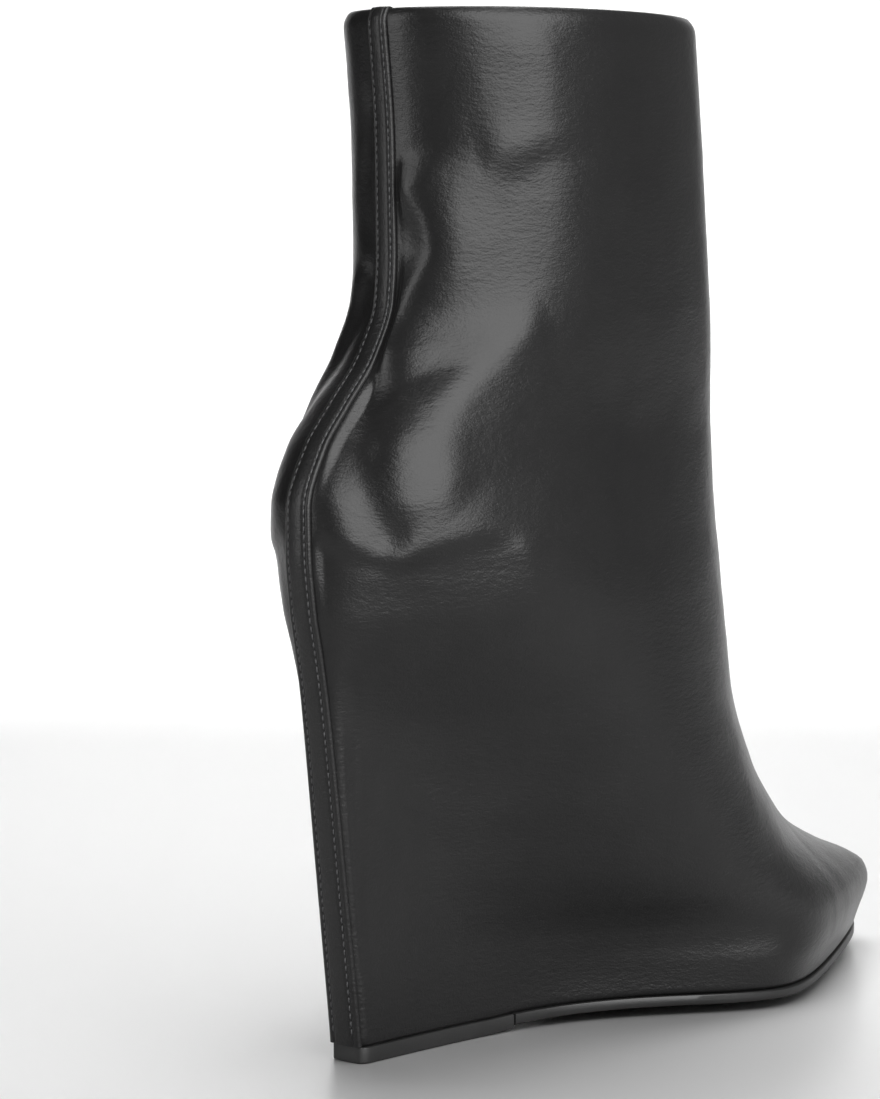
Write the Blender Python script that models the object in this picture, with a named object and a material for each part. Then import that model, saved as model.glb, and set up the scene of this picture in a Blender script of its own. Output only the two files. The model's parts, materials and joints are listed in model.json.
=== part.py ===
"""Right wedge ankle boot: pointed toe, leather-covered wedge that narrows to a fin, inner side zip.

Metres. +X runs from heel to toe, +Y to the wearer's left (the inner side of this right boot), +Z up.
The origin is on the ground, at the middle of the heel's flat ground face.
"""

import math
from functools import lru_cache

import bmesh
import bpy
from mathutils import Matrix, Vector

# Driving sizes of the whole boot
HEEL_HEIGHT = 0.1145         # ground to the heel seat
BOOT_HEIGHT = 0.267          # ground to the collar
TOE_REACH = 0.2235           # heel's rear edge to the toe tip
HEEL_OVERHANG = 0.0167       # how far the heel cup stands out behind the heel's rear edge
SHAFT_DEPTH = 0.1078         # front to back at the collar
SHAFT_WIDTH = 0.0768
BALL_WIDTH = 0.088
HEEL_WIDTH = 0.066           # across the heel cup
FIN_WIDTH = 0.0120           # across the wedge's narrow back
FIN_CORNER = 0.0028          # how far forward the fin's rounded back corners run
TOE_SWING = 0.004            # how far the toe tip leans to the inner side
OUTER_WAIST = 0.0060         # how far the outer side sinks in at the ankle

# Sole and heel
GROUND_BACK = 0.023          # heel's rear edge behind the origin
TOP_PIECE_LENGTH = 0.055
EDGE_RISE = 0.0038           # ground to the sole's lower edge at the toe
SOLE_EDGE = 0.0028           # height of the sole's visible edge
SOLE_LIP = 0.0004            # how far the sole's edge stands out past the upper

# Walls and layers
WALL = 0.0022                # leather and lining together
INSOLE_THICKNESS = 0.0030
GAP = 0.0003                 # between pieces that touch

# Back strip
STRIP_WIDTH = 0.0090
STRIP_THICKNESS = 0.0009
STRIP_INSIDE = 0.011         # how far it runs down inside

# Zip
ZIP_TOP_PLACE = 0.062        # its middle line's place at the collar, from the heel's rear edge
ZIP_FOOT_PLACE = 0.090       # and at its lower end
ZIP_SLOT_WIDTH = 0.0074
ZIP_BOTTOM = 0.048           # ground to the slot's lower end
ZIP_LAP = 0.0036             # tape hidden behind each edge of the slot
TAPE_THICKNESS = 0.0007
TAPE_RECESS = 0.0013         # tape's face below the leather's face
COIL_WIDTH = 0.0024          # the coil shows as a ridge under the tape
COIL_RIDGE = 0.0004
SLIDER_WIDTH = 0.0058
SLIDER_LENGTH = 0.0128
SLIDER_THICKNESS = 0.0022
SLIDER_BELOW_COLLAR = 0.0022
BAIL_HEIGHT = 0.0031         # clear height under the slider's bail
BAIL_LENGTH = 0.0090
BAIL_WIDTH = 0.0018
BAIL_BAR = 0.0012
PULL_LENGTH = 0.0275         # from its hinge to its tip
PULL_WIDTH = 0.0046
PULL_THICKNESS = 0.0016
PULL_PIN = 0.0012            # the pull's cross bar
PULL_EYE = 0.0066            # from the hinge to the far end of its open eye
PULL_REST_ANGLE = 17.0       # degrees that the pull hangs out from the zip

# How finely the skin is cut
STATIONS = 24                # from back to front on each side
BACK_CROWDING = 1.25         # how much closer together they are at the back
EDGE_ROWS = [0.0, 0.28, 0.62]    # rows between the lower edge and the first level

LATERAL, MEDIAL = -1, 1


def read(table, column, at):
    """The column's value at a place in the table's first column, on a smooth curve that never overshoots."""
    places = [row[0] for row in table]
    values = [row[column] for row in table]
    at = min(max(at, places[0]), places[-1])
    i = max(k for k in range(len(places) - 1) if places[k] <= at)
    steps = [b - a for a, b in zip(places, places[1:])]
    slopes = [(b - a) / step for a, b, step in zip(values, values[1:], steps)]

    def lean(k):
        if k in (0, len(places) - 1):
            return slopes[0] if k == 0 else slopes[-1]
        before, after = slopes[k - 1], slopes[k]
        if before * after <= 0:
            return 0.0
        near, far = steps[k - 1] + 2 * steps[k], 2 * steps[k - 1] + steps[k]
        return (near + far) / (near / after + far / before)

    q = (at - places[i]) / steps[i]
    rise = q * q * (3 - 2 * q)
    return (values[i] * (1 - rise) + values[i + 1] * rise
            + steps[i] * q * (1 - q) * ((1 - q) * lean(i) - q * lean(i + 1)))


# Heights are levels: 0 is the ground, 1 the heel seat, 2 the collar.
# The back line: overhang is a share of HEEL_OVERHANG, negative where the line is set in.
#            level  overhang
BACK_LINE = [(0.000, 0.00),
             (0.040, 0.02),
             (0.220, 0.16),
             (0.480, 0.37),
             (0.700, 0.55),
             (0.820, 0.66),
             (0.930, 0.79),
             (1.025, 0.92),
             (1.110, 0.99),
             (1.180, 0.98),
             (1.275, 0.61),
             (1.344, 0.08),
             (1.425, -0.57),
             (1.520, -0.97),
             (1.610, -1.03),
             (1.780, -1.00),
             (2.000, -0.80)]

# The front line: reach is 1 at the toe tip and 0 at the collar's front.
#             level  reach
FRONT_LINE = [(0.00, 0.915),
              (0.04, 0.930),
              (0.08, 0.950),
              (0.13, 0.980),
              (0.17, 1.000),
              (0.21, 0.975),
              (0.25, 0.885),
              (0.30, 0.725),
              (0.37, 0.550),
              (0.45, 0.432),
              (0.57, 0.300),
              (0.77, 0.183),
              (1.00, 0.148),
              (1.34, 0.100),
              (1.70, 0.045),
              (2.00, 0.000)]

# The widest place of each level: ball and shaft are shares of BALL_WIDTH and SHAFT_WIDTH, place is
# its share of the way from back to front, waist is how much of OUTER_WAIST the outer side sinks in.
#           level  ball   shaft  place  waist
BREADTHS = [(0.00, 0.920, 0.000, 0.600, 0.00),
            (0.07, 0.965, 0.000, 0.600, 0.00),
            (0.14, 1.010, 0.000, 0.600, 0.00),
            (0.28, 1.000, 0.000, 0.620, 0.00),
            (0.47, 0.970, 0.000, 0.640, 0.00),
            (0.70, 0.955, 0.000, 0.620, 0.00),
            (1.00, 0.930, 0.000, 0.580, 0.00),
            (1.10, 0.905, 0.000, 0.560, 0.10),
            (1.20, 0.600, 0.330, 0.550, 0.50),
            (1.31, 0.300, 0.670, 0.530, 1.00),
            (1.50, 0.000, 1.020, 0.510, 0.55),
            (1.75, 0.000, 1.010, 0.500, 0.15),
            (2.00, 0.000, 1.000, 0.500, 0.00)]

# The shape of each level: cup is 0 where the back is the wedge's fin and 1 where it is rounded like
# a heel, lobe is that round's radius as a share of half of HEEL_WIDTH, flare and inner say how late
# the fin widens on the outer and inner side, ease how round and tip how blunt the front is.
#         level   cup   lobe  flare inner ease  tip
SHAPES = [(0.000, 0.00, 1.00, 2.20, 2.70, 0.15, 0.18),
          (0.100, 0.00, 1.00, 2.15, 2.60, 0.16, 0.18),
          (0.200, 0.00, 1.00, 1.90, 2.20, 0.20, 0.20),
          (0.300, 0.00, 1.00, 1.65, 1.90, 0.35, 0.26),
          (0.450, 0.00, 1.00, 1.40, 1.55, 0.60, 0.40),
          (0.600, 0.02, 1.00, 1.30, 1.40, 1.00, 0.70),
          (0.690, 0.07, 1.00, 1.25, 1.32, 1.50, 0.90),
          (0.760, 0.14, 1.00, 1.20, 1.25, 2.00, 1.10),
          (0.825, 0.28, 1.00, 1.15, 1.20, 2.50, 1.30),
          (0.890, 0.46, 1.00, 1.12, 1.15, 3.00, 1.60),
          (0.960, 0.65, 1.00, 1.10, 1.10, 3.00, 1.90),
          (1.020, 0.80, 1.00, 1.05, 1.05, 3.00, 2.20),
          (1.070, 0.91, 1.00, 1.02, 1.02, 3.00, 2.60),
          (1.130, 1.00, 1.00, 1.00, 1.00, 3.00, 3.00),
          (1.300, 1.00, 0.94, 1.00, 1.00, 3.00, 4.00),
          (1.500, 1.00, 0.82, 1.00, 1.00, 3.00, 6.00),
          (2.000, 1.00, 0.92, 1.00, 1.00, 3.00, 8.00)]

# The sole: along is a share of TOE_REACH; edge (its lower edge) and keel (its underside's middle)
# are heights as shares of EDGE_RISE.
#             along  edge   keel
SOLE_LINES = [(0.00, 0.360, 0.000),
              (0.20, 0.360, 0.000),
              (0.26, 0.500, 0.240),
              (0.34, 0.620, 0.500),
              (0.43, 0.680, 0.400),
              (0.52, 0.650, 0.000),
              (0.60, 0.620, 0.000),
              (0.67, 0.650, 0.000),
              (0.75, 0.720, 0.180),
              (0.85, 0.850, 0.500),
              (1.00, 1.000, 0.850)]

# The footbed: along is a share of TOE_REACH, rise a share of HEEL_HEIGHT.
#          along  rise
FOOTBED = [(-0.10, 1.030),
           (0.02, 1.010),
           (0.14, 0.940),
           (0.28, 0.715),
           (0.42, 0.400),
           (0.52, 0.185),
           (0.60, 0.095),
           (0.66, 0.065),
           (1.00, 0.060)]

# The back strip: wide is a share of STRIP_WIDTH.
#         level  wide
STRIP = [(0.00, 1.180),
         (0.50, 1.100),
         (1.00, 1.020),
         (1.50, 1.000),
         (2.00, 0.800)]

# Levels that the skin is cut at, closer together where it curves.
OUTER_LEVELS = [0.130, 0.155, 0.178, 0.200, 0.225, 0.255, 0.295, 0.350, 0.420, 0.510, 0.610, 0.710,
                0.790, 0.860, 0.930, 1.000, 1.055, 1.110, 1.160, 1.210, 1.265, 1.320, 1.380, 1.450,
                1.530, 1.640, 1.790, 1.920, 1.994]
INNER_LEVELS = [0.130, 0.178, 0.225, 0.295, 0.420, 0.510, 0.610, 0.710, 0.790, 0.860, 0.930, 1.000,
                1.055, 1.110, 1.160, 1.210, 1.265, 1.320, 1.450, 1.640, 1.850, 2.000]
RIM = 0.0005                 # how far the collar's edge is rounded


def height_of(level):
    if level <= 1:
        return level * HEEL_HEIGHT
    return HEEL_HEIGHT + (level - 1) * (BOOT_HEIGHT - HEEL_HEIGHT)


def level_of(height):
    if height <= HEEL_HEIGHT:
        return height / HEEL_HEIGHT
    return 1 + (height - HEEL_HEIGHT) / (BOOT_HEIGHT - HEEL_HEIGHT)


@lru_cache(maxsize=None)
def section(height):
    """What a level of the boot measures: its ends, widest place and shape."""
    level = level_of(height)
    back = -HEEL_OVERHANG * read(BACK_LINE, 1, level)
    collar_front = SHAFT_DEPTH - HEEL_OVERHANG * BACK_LINE[-1][1]
    front = collar_front + (TOE_REACH - collar_front) * read(FRONT_LINE, 1, level)
    half = (BALL_WIDTH * read(BREADTHS, 1, level) + SHAFT_WIDTH * read(BREADTHS, 2, level)) / 2
    widest = back + (front - back) * read(BREADTHS, 3, level)
    lobe = HEEL_WIDTH / 2 * read(SHAPES, 2, level)
    full = 1 - min(lobe / half, 0.97) ** 2
    roundness = max(LEAST_ROUNDNESS, math.log(full) / math.log(max(0.05, 1 - lobe / (widest - back))))
    return dict(back=back, front=front, half=half, widest=widest, roundness=roundness,
                waist=OUTER_WAIST * read(BREADTHS, 4, level), cup=read(SHAPES, 1, level),
                flare={LATERAL: read(SHAPES, 3, level), MEDIAL: read(SHAPES, 4, level)},
                ease=read(SHAPES, 5, level), tip=read(SHAPES, 6, level))


def half_width(level, x, side):
    """How far the skin stands out to one side at x, measured from the heel's rear edge."""
    x = min(max(x, level["back"]), level["front"])
    if x >= level["widest"]:
        ahead = (x - level["widest"]) / (level["front"] - level["widest"])
        ease = level["ease"]
        left = max(0.0, 1 - (math.hypot(ahead, ease) - ease) / (math.hypot(1, ease) - ease))
        width = level["half"] * math.sqrt((left * left + 2 * level["tip"] * left) / (1 + 2 * level["tip"]))
    else:
        behind = (level["widest"] - x) / (level["widest"] - level["back"])
        cup = level["half"] * math.sqrt(max(0.0, 1 - behind ** level["roundness"]))
        width = level["cup"] * cup + (1 - level["cup"]) * fin_half_width(level, x, behind, side)
    if side == LATERAL:
        share = (x - level["back"]) / (level["front"] - level["back"])
        width -= level["waist"] * math.sin(math.pi * share ** 0.8) ** 2
    return width


def fin_half_width(level, x, behind, side):
    """The wedge's plan: a flat back with round corners, then a hollow side that opens to the ball."""
    from_back = x - level["back"]
    corner = min(1.0, from_back / FIN_CORNER)
    fin = FIN_WIDTH / 2 - FIN_CORNER + FIN_CORNER * math.sqrt(max(0.0, 1 - (1 - corner) ** 2))
    fin *= min(1.0, math.sqrt(from_back / FLAT_BACK_START))
    opening = (1 - math.cos(math.pi * (1 - behind) ** level["flare"][side])) / 2
    return fin + (level["half"] - FIN_WIDTH / 2) * opening


def middle(x):
    """The foot's middle line bends to the inner side ahead of the waist."""
    ahead = max(0.0, (x - TOE_REACH / 2) / (TOE_REACH / 2))
    return TOE_SWING * ahead ** 1.6


def surface(x, side, height):
    """The skin's point at x (measured from the heel's rear edge) on one side at a height."""
    lean = middle(x) * max(0.0, 1 - height / HEEL_HEIGHT)
    return Vector((x - GROUND_BACK, lean + side * half_width(section(height), x, side), height))


def skin(turn, height):
    """A point of the leather's face. turn is 0 at the back, 1 at the front and 2 at the back again."""
    turn %= 2
    side, share = (MEDIAL, turn) if turn <= 1 else (LATERAL, 2 - turn)
    level = section(height)
    run = ((1 - math.cos(math.pi * share)) / 2) ** BACK_CROWDING
    return surface(level["back"] + (level["front"] - level["back"]) * run, side, height)


def turn_at(x, height):
    """The inner side's turn at x, measured from the heel's rear edge."""
    level = section(height)
    run = ((x - level["back"]) / (level["front"] - level["back"])) ** (1 / BACK_CROWDING)
    return math.acos(1 - 2 * run) / math.pi


def outward(turn, height):
    """The skin's unit normal."""
    low, high = max(0.001, height - 0.0004), min(BOOT_HEIGHT, height + 0.0004)
    around = skin(turn + 0.004, height) - skin(turn - 0.004, height)
    up = skin(turn, high) - skin(turn, low)
    return around.cross(up).normalized() * -1


def inside(turn, height, depth):
    """A point under the skin, depth below its face."""
    return skin(turn, height) - outward(turn, height) * depth


@lru_cache(maxsize=None)
def lengths_round(height, side):
    """How far round the skin each of many turns is from the back, along one side."""
    spots = [skin(side * k / LENGTH_SPOTS, height) for k in range(LENGTH_SPOTS + 1)]
    run = [0.0]
    for first, second in zip(spots, spots[1:]):
        run.append(run[-1] + (second - first).length)
    return run


def turn_for_length(height, length):
    """The turn that lies a length round the skin from the back; the outer side's lengths are negative."""
    side = MEDIAL if length >= 0 else LATERAL
    run = lengths_round(height, side)
    length = min(abs(length), run[-1] * 0.999)
    k = max(i for i in range(LENGTH_SPOTS) if run[i] <= length)
    return side * (k + (length - run[k]) / (run[k + 1] - run[k])) / LENGTH_SPOTS


def length_for_turn(height, turn):
    run = lengths_round(height, MEDIAL)
    k = min(LENGTH_SPOTS - 1, int(turn * LENGTH_SPOTS))
    return run[k] + (run[k + 1] - run[k]) * (turn * LENGTH_SPOTS - k)


def sole_line(column, x):
    """A height from the sole's table. x is measured from the heel's rear edge."""
    return EDGE_RISE * read(SOLE_LINES, column, x / TOE_REACH)


def sole_top(x):
    return sole_line(1, x) + SOLE_EDGE


def edge_height(x):
    """Height of the upper's lower edge."""
    return sole_top(x) + GAP


def footbed_height(x):
    """Height of the insole's top."""
    return max(HEEL_HEIGHT * read(FOOTBED, 1, x / TOE_REACH), edge_height(x) + INSOLE_THICKNESS)


def turns():
    """The places round the boot where the skin is cut."""
    return [k / STATIONS for k in range(2 * STATIONS)]


def low_point(turn, share, top, depth):
    """A point of the rows that spread from the lower edge (share 0) to the first level (share 1)."""
    height = top
    for _ in range(4):
        edge = edge_height(skin(turn, height).x + GROUND_BACK)
        height = edge + (top - edge) * share
    point = inside(turn, height, depth) if depth else skin(turn, height)
    if share == 0:
        point.z = edge_height(point.x + GROUND_BACK)
    return point


def shell_rings(levels, depth):
    """The skin's rings, or those of a layer depth under it, from the lower edge to the collar."""
    first = height_of(levels[0])
    rings = [[low_point(turn, share, first, depth) for turn in turns()] for share in EDGE_ROWS]
    for level in levels:
        height = height_of(level)
        rings.append([inside(turn, height, depth) if depth else skin(turn, height) for turn in turns()])
    if depth:
        for point in rings[-1]:
            point.z = BOOT_HEIGHT
    return rings


def new_object(name, work, look):
    mesh = bpy.data.meshes.new(name)
    bmesh.ops.recalc_face_normals(work, faces=work.faces)
    work.to_mesh(mesh)
    work.free()
    built = bpy.data.objects.new(name, mesh)
    bpy.context.scene.collection.objects.link(built)
    mesh.materials.append(look)
    mesh.shade_smooth()
    mesh.set_sharp_from_angle(angle=math.radians(40))
    return built


def material(name, colour, roughness, metallic=0.0):
    made = bpy.data.materials.new(name)
    made.use_nodes = True
    shader = made.node_tree.nodes["Principled BSDF"]
    shader.inputs["Base Color"].default_value = (*colour, 1)
    shader.inputs["Roughness"].default_value = roughness
    shader.inputs["Metallic"].default_value = metallic
    return made


def add_ring(work, points):
    return [work.verts.new(p) for p in points]


def join_rings(work, first, second):
    """A band of faces between two rings with as many points each."""
    count = len(first)
    for k in range(count):
        after = (k + 1) % count
        work.faces.new((first[k], first[after], second[after], second[k]))


def lid(work, ring):
    """Closes a ring that runs from the back round the inner side, with strips across the boot."""
    count = len(ring)
    for k in range(count // 2):
        corners = [ring[k], ring[k + 1], ring[-k - 1], ring[-k % count]]
        work.faces.new(list(dict.fromkeys(corners)))


def ladder_cap(work, ring):
    """Closes a flat ring whose first half runs along its face and second half back along its underside."""
    for k in range(len(ring) // 2 - 1):
        work.faces.new((ring[k], ring[k + 1], ring[-k - 2], ring[-k - 1]))


def loft(rings):
    """A closed solid through rings that are flat strips or cross-sections."""
    work = bmesh.new()
    made = [add_ring(work, ring) for ring in rings]
    for first, second in zip(made, made[1:]):
        join_rings(work, first, second)
    ladder_cap(work, made[0])
    ladder_cap(work, made[-1])
    return work


def as_helper(built):
    """A cutter or a form: it isn't a piece of the boot."""
    built.hide_render = True
    built.display_type = "WIRE"
    return built


def cut(target, tool, operation="DIFFERENCE"):
    change = target.modifiers.new(tool.name, "BOOLEAN")
    change.operation = operation
    change.object = tool
    change.solver = "EXACT"


def along(start, end, steps):
    return [start + (end - start) * k / steps for k in range(steps + 1)]


def make_upper():
    """One hollow wall from the collar down over the wedge to the sole, with the zip's slot in its inner side."""
    work = bmesh.new()
    outer_rings = shell_rings(OUTER_LEVELS, 0.0)
    inner_rings = shell_rings(INNER_LEVELS, WALL)
    rim = [inside(turn, BOOT_HEIGHT, RIM) for turn in turns()]
    for point in rim:
        point.z = BOOT_HEIGHT
    outer = [add_ring(work, ring) for ring in [*outer_rings, rim]]
    inner = [add_ring(work, ring) for ring in inner_rings]
    for rings in (outer, inner):
        for low, high in zip(rings, rings[1:]):
            join_rings(work, low, high)
    join_rings(work, outer[0], inner[0])
    join_rings(work, outer[-1], inner[-1])
    upper = new_object("upper", work, LEATHER)

    half = ZIP_SLOT_WIDTH / 2
    lap = half + ZIP_LAP + GAP
    over = BOOT_HEIGHT + 2 * WALL
    slot = zip_band(ZIP_BOTTOM, over, half, -2 * WALL, 2 * WALL, round_foot=True)
    seat = zip_band(ZIP_BOTTOM - ZIP_LAP - GAP, over, lap, TAPE_RECESS - GAP, 2 * WALL)
    cut(upper, as_helper(new_object("slot_cutter", slot, PLAIN)))
    cut(upper, as_helper(new_object("tape_seat_cutter", seat, PLAIN)))
    return upper


def beside_zip(height, offset, depth):
    """A point at an offset from the zip's middle line, along the skin to the toe, and depth under its face."""
    beyond = max(0.0, height - BOOT_HEIGHT)
    height = min(height, BOOT_HEIGHT)
    share = (BOOT_HEIGHT - height) / (BOOT_HEIGHT - ZIP_BOTTOM)
    turn = turn_at(ZIP_TOP_PLACE + (ZIP_FOOT_PLACE - ZIP_TOP_PLACE) * share, height)
    turn = turn_for_length(height, length_for_turn(height, turn) + offset)
    point = inside(turn, height, depth)
    point.z = height + beyond
    return point


def zip_band(bottom, top, half, face, back, round_foot=False, ridge=0.0):
    """A closed band along the zip between two depths under the leather's face."""
    start = bottom + half if round_foot else bottom
    shared = [ZIP_BOTTOM + GAP, *along(ZIP_BOTTOM + ZIP_LAP, BOOT_HEIGHT, ZIP_STEPS)]
    heights = [start, *[height for height in shared if start < height <= BOOT_HEIGHT], top]
    if round_foot:
        foot = [bottom + half * (1 - math.cos(math.radians(a))) for a in (15, 40, 65)]
        heights = foot + heights
    coil = COIL_WIDTH / 2 / half
    shares = [-1.0, -coil, -0.5 * coil, 0.5 * coil, coil, 1.0] if ridge else [-1.0, -0.45, 0.45, 1.0]
    rings = []
    for height in heights:
        reach = half
        if round_foot and height < bottom + half:
            reach = math.sqrt(half ** 2 - (bottom + half - height) ** 2)
        raised = ridge if height > ZIP_BOTTOM + ZIP_LAP / 2 else 0.0
        depths = [face - (raised if abs(share) < 0.9 * coil else 0.0) for share in shares]
        faces = [beside_zip(height, share * reach, depth) for share, depth in zip(shares, depths)]
        rings.append(faces + [beside_zip(height, share * reach, back) for share in reversed(shares)])
    return loft(rings)


def make_zip_tape():
    """Both tapes of the closed zip, with the ridge of the coil under them."""
    half = ZIP_SLOT_WIDTH / 2 + ZIP_LAP
    back = TAPE_RECESS + TAPE_THICKNESS
    work = zip_band(ZIP_BOTTOM - ZIP_LAP, BOOT_HEIGHT + GAP, half, TAPE_RECESS, back, ridge=COIL_RIDGE)
    return new_object("zip_tape", work, TAPE)


def slider_frame():
    """The slider's place: x along the slot's width, y out of the boot and z up along the zip."""
    height = BOOT_HEIGHT - SLIDER_BELOW_COLLAR - SLIDER_LENGTH / 2
    depth = TAPE_RECESS - COIL_RIDGE - GAP
    up = beside_zip(height + SLIDER_LENGTH / 2, 0, depth) - beside_zip(height - SLIDER_LENGTH / 2, 0, depth)
    up.normalize()
    across = beside_zip(height, SLIDER_WIDTH / 2, depth) - beside_zip(height, -SLIDER_WIDTH / 2, depth)
    out = up.cross(across).normalized()
    across = out.cross(up)
    frame = Matrix((across, out, up)).transposed().to_4x4()
    frame.translation = beside_zip(height, 0, depth)
    return frame


def plate(outline, layers):
    """A plate in the x z plane: the outline is (half width, height) from bottom to top, and the layers
    are (distance out, inset) from its back to its face."""
    rings = []
    for out, inset in layers:
        right = [Vector((width - inset, out, z)) for width, z in outline]
        left = [Vector((inset - width, out, z)) for width, z in outline]
        for side in (right, left):
            side[0].z += inset
            side[-1].z -= inset
        rings.append(right + left[::-1])
    return loft(rings)


def make_slider():
    """The slider's body and its bail, the bridge that the pull hangs from."""
    frame = slider_frame()
    half = SLIDER_WIDTH / 2
    end = SLIDER_LENGTH / 2
    outline = [(0.62 * half, -end), (0.74 * half, -0.9 * end), (0.82 * half, -0.4 * end), (half, 0.2 * end),
               (half, 0.75 * end), (0.8 * half, end)]
    layers = [(0.0, 0.0), (SLIDER_THICKNESS - 0.0005, 0.0), (SLIDER_THICKNESS, 0.0004)]
    slider = new_object("zip_slider", plate(outline, layers), METAL)
    slider.matrix_world = frame

    low, high = SLIDER_THICKNESS - 0.0006, SLIDER_THICKNESS + BAIL_HEIGHT + BAIL_BAR
    reach, corner = BAIL_LENGTH / 2, 0.0016
    bend = [math.radians(a) for a in (0, 30, 60, 90)]
    upper_bend = [(high - corner + corner * math.sin(a), reach - corner + corner * math.cos(a)) for a in bend]
    inner_corner = corner - 0.0008
    high_in, reach_in = high - BAIL_BAR, reach - BAIL_BAR
    inner_bend = [(high_in - inner_corner + inner_corner * math.sin(a),
                   reach_in - inner_corner + inner_corner * math.cos(a)) for a in bend]
    outer_arc = [(low, reach), *upper_bend, *[(y, -z) for y, z in reversed(upper_bend)], (low, -reach)]
    inner_arc = [(low, reach_in), *inner_bend, *[(y, -z) for y, z in reversed(inner_bend)], (low, -reach_in)]
    rings = []
    for (outer_y, outer_z), (inner_y, inner_z) in zip(outer_arc, inner_arc):
        wide = BAIL_WIDTH / 2
        rings.append([Vector((-wide, outer_y, outer_z)), Vector((wide, outer_y, outer_z)),
                      Vector((wide, inner_y, inner_z)), Vector((-wide, inner_y, inner_z))])
    bail = as_helper(new_object("bail_form", loft(rings), PLAIN))
    bail.matrix_world = frame
    cut(slider, bail, "UNION")
    return slider


def make_pull():
    """The pull tab, hinged under the bail; its own origin lies on the hinge."""
    frame = slider_frame()
    hinge = frame @ Matrix.Translation((0, SLIDER_THICKNESS + HINGE_LIFT, 0))
    place = hinge @ Matrix.Rotation(math.radians(PULL_REST_ANGLE), 4, "X")
    half = PULL_WIDTH / 2
    top = PULL_PIN / 2
    outline = [(0.55 * half, -PULL_LENGTH), (0.9 * half, -PULL_LENGTH + 0.0010),
               (half, -PULL_LENGTH + 0.0026), (0.92 * half, -PULL_EYE - 0.0024), (half, -PULL_EYE), (half, top)]
    thick = PULL_THICKNESS / 2
    layers = [(-thick, 0.0003), (-thick + 0.0003, 0.0), (thick - 0.0003, 0.0), (thick, 0.0003)]
    pull = new_object("zip_pull", plate(outline, layers), METAL)
    eye_half = BAIL_WIDTH / 2 + PULL_PLAY
    eye_outline = [(eye_half, -PULL_EYE), (eye_half, -PULL_PIN / 2)]
    eye = new_object("eye_cutter", plate(eye_outline, [(-2 * thick, 0.0), (2 * thick, 0.0)]), PLAIN)
    for built in (pull, as_helper(eye)):
        built.matrix_world = place
    cut(pull, eye)
    return pull


def side_form(name, outline):
    """A block wider than the boot with the given top and underside, as (place, top, underside)."""
    rings = []
    for x, top, underside in outline:
        corners = [(LATERAL, top), (MEDIAL, top), (MEDIAL, underside), (LATERAL, underside)]
        rings.append([Vector((x - GROUND_BACK, side * BALL_WIDTH, z)) for side, z in corners])
    return as_helper(new_object(name, loft(rings), PLAIN))


def make_inner_pieces():
    """The wedge's core and the insole, cut from the space that the upper encloses."""
    def space(name, look):
        work = bmesh.new()
        rings = [add_ring(work, ring) for ring in shell_rings(INNER_LEVELS, WALL + GAP)]
        for low, high in zip(rings, rings[1:]):
            join_rings(work, low, high)
        lid(work, rings[0])
        lid(work, rings[-1])
        return new_object(name, work, look)

    places = along(-2 * HEEL_OVERHANG, TOE_REACH + HEEL_OVERHANG, 40)
    bed = [(x, footbed_height(x), footbed_height(x) - INSOLE_THICKNESS) for x in places]
    cut(space("insole", INSOLE_LEATHER), side_form("insole_form", bed), "INTERSECT")

    under_insole = [(x, underside - GAP, -GAP) for x, top, underside in bed if x < core_end()]
    cut(space("wedge_core", CORE), side_form("core_form", under_insole), "INTERSECT")


def core_end():
    """Where the wedge has thinned to a millimetre under the insole."""
    for x in along(TOP_PIECE_LENGTH, TOE_REACH, 200):
        if footbed_height(x) - INSOLE_THICKNESS - GAP - edge_height(x) < 0.001:
            return x
    return TOE_REACH


def rim_point(x, side, lip):
    """A point of the sole's outline, which follows the upper's lower edge."""
    height = edge_height(x)
    front = section(height)["front"]
    point = surface(min(x, front), side, height)
    point.x = x - GROUND_BACK
    point.y += side * lip
    return point


def cross_section(x, lip, profile):
    """A section of the sole across the boot. The profile is a list of (share of the half width, height)."""
    outer, inner = rim_point(x, LATERAL, lip), rim_point(x, MEDIAL, lip)
    centre, half = (inner.y + outer.y) / 2, (inner.y - outer.y) / 2
    right = [Vector((outer.x, centre + half * share, z)) for share, z in profile]
    left = [Vector((outer.x, centre - half * share, z)) for share, z in profile]
    return right + left[::-1]


def make_outsole():
    """The sole from the top piece to the toe: thin at its edge, rounded under, flat under the ball."""
    start = TOP_PIECE_LENGTH + GAP
    end = TOE_REACH
    for _ in range(6):
        end = section(edge_height(end))["front"]
    rings = []
    for k in range(SOLE_STEPS + 1):
        x = start + (end - start) * math.sin(math.pi / 2 * k / SOLE_STEPS)
        top, edge, keel = sole_top(x), sole_line(1, x), sole_line(2, x)
        drop = edge - keel
        profile = [(1.0, top), (1.0, edge + 0.35 * SOLE_EDGE), (0.975, edge), (0.86, keel + 0.62 * drop),
                   (0.62, keel + 0.22 * drop), (0.34, keel)]
        rings.append(cross_section(x + (SOLE_LIP if k == SOLE_STEPS else 0.0), SOLE_LIP, profile))
    return new_object("outsole", loft(rings), RUBBER)


def make_top_piece():
    """The heel's top piece, which meets the ground."""
    back = section(edge_height(0.0))["back"]
    places = [back + FIN_CORNER * share for share in (0.03, 0.25, 0.6, 1.0)]
    places += along(places[-1], TOP_PIECE_LENGTH, 10)[1:]
    rings = []
    for x in places:
        top, ground = sole_top(x), sole_line(2, x)
        profile = [(1.0, top), (1.0, ground + 0.0005), (0.96, ground)]
        rings.append(cross_section(x, 0.0, profile))
    return new_object("top_piece", loft(rings), RUBBER)


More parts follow.
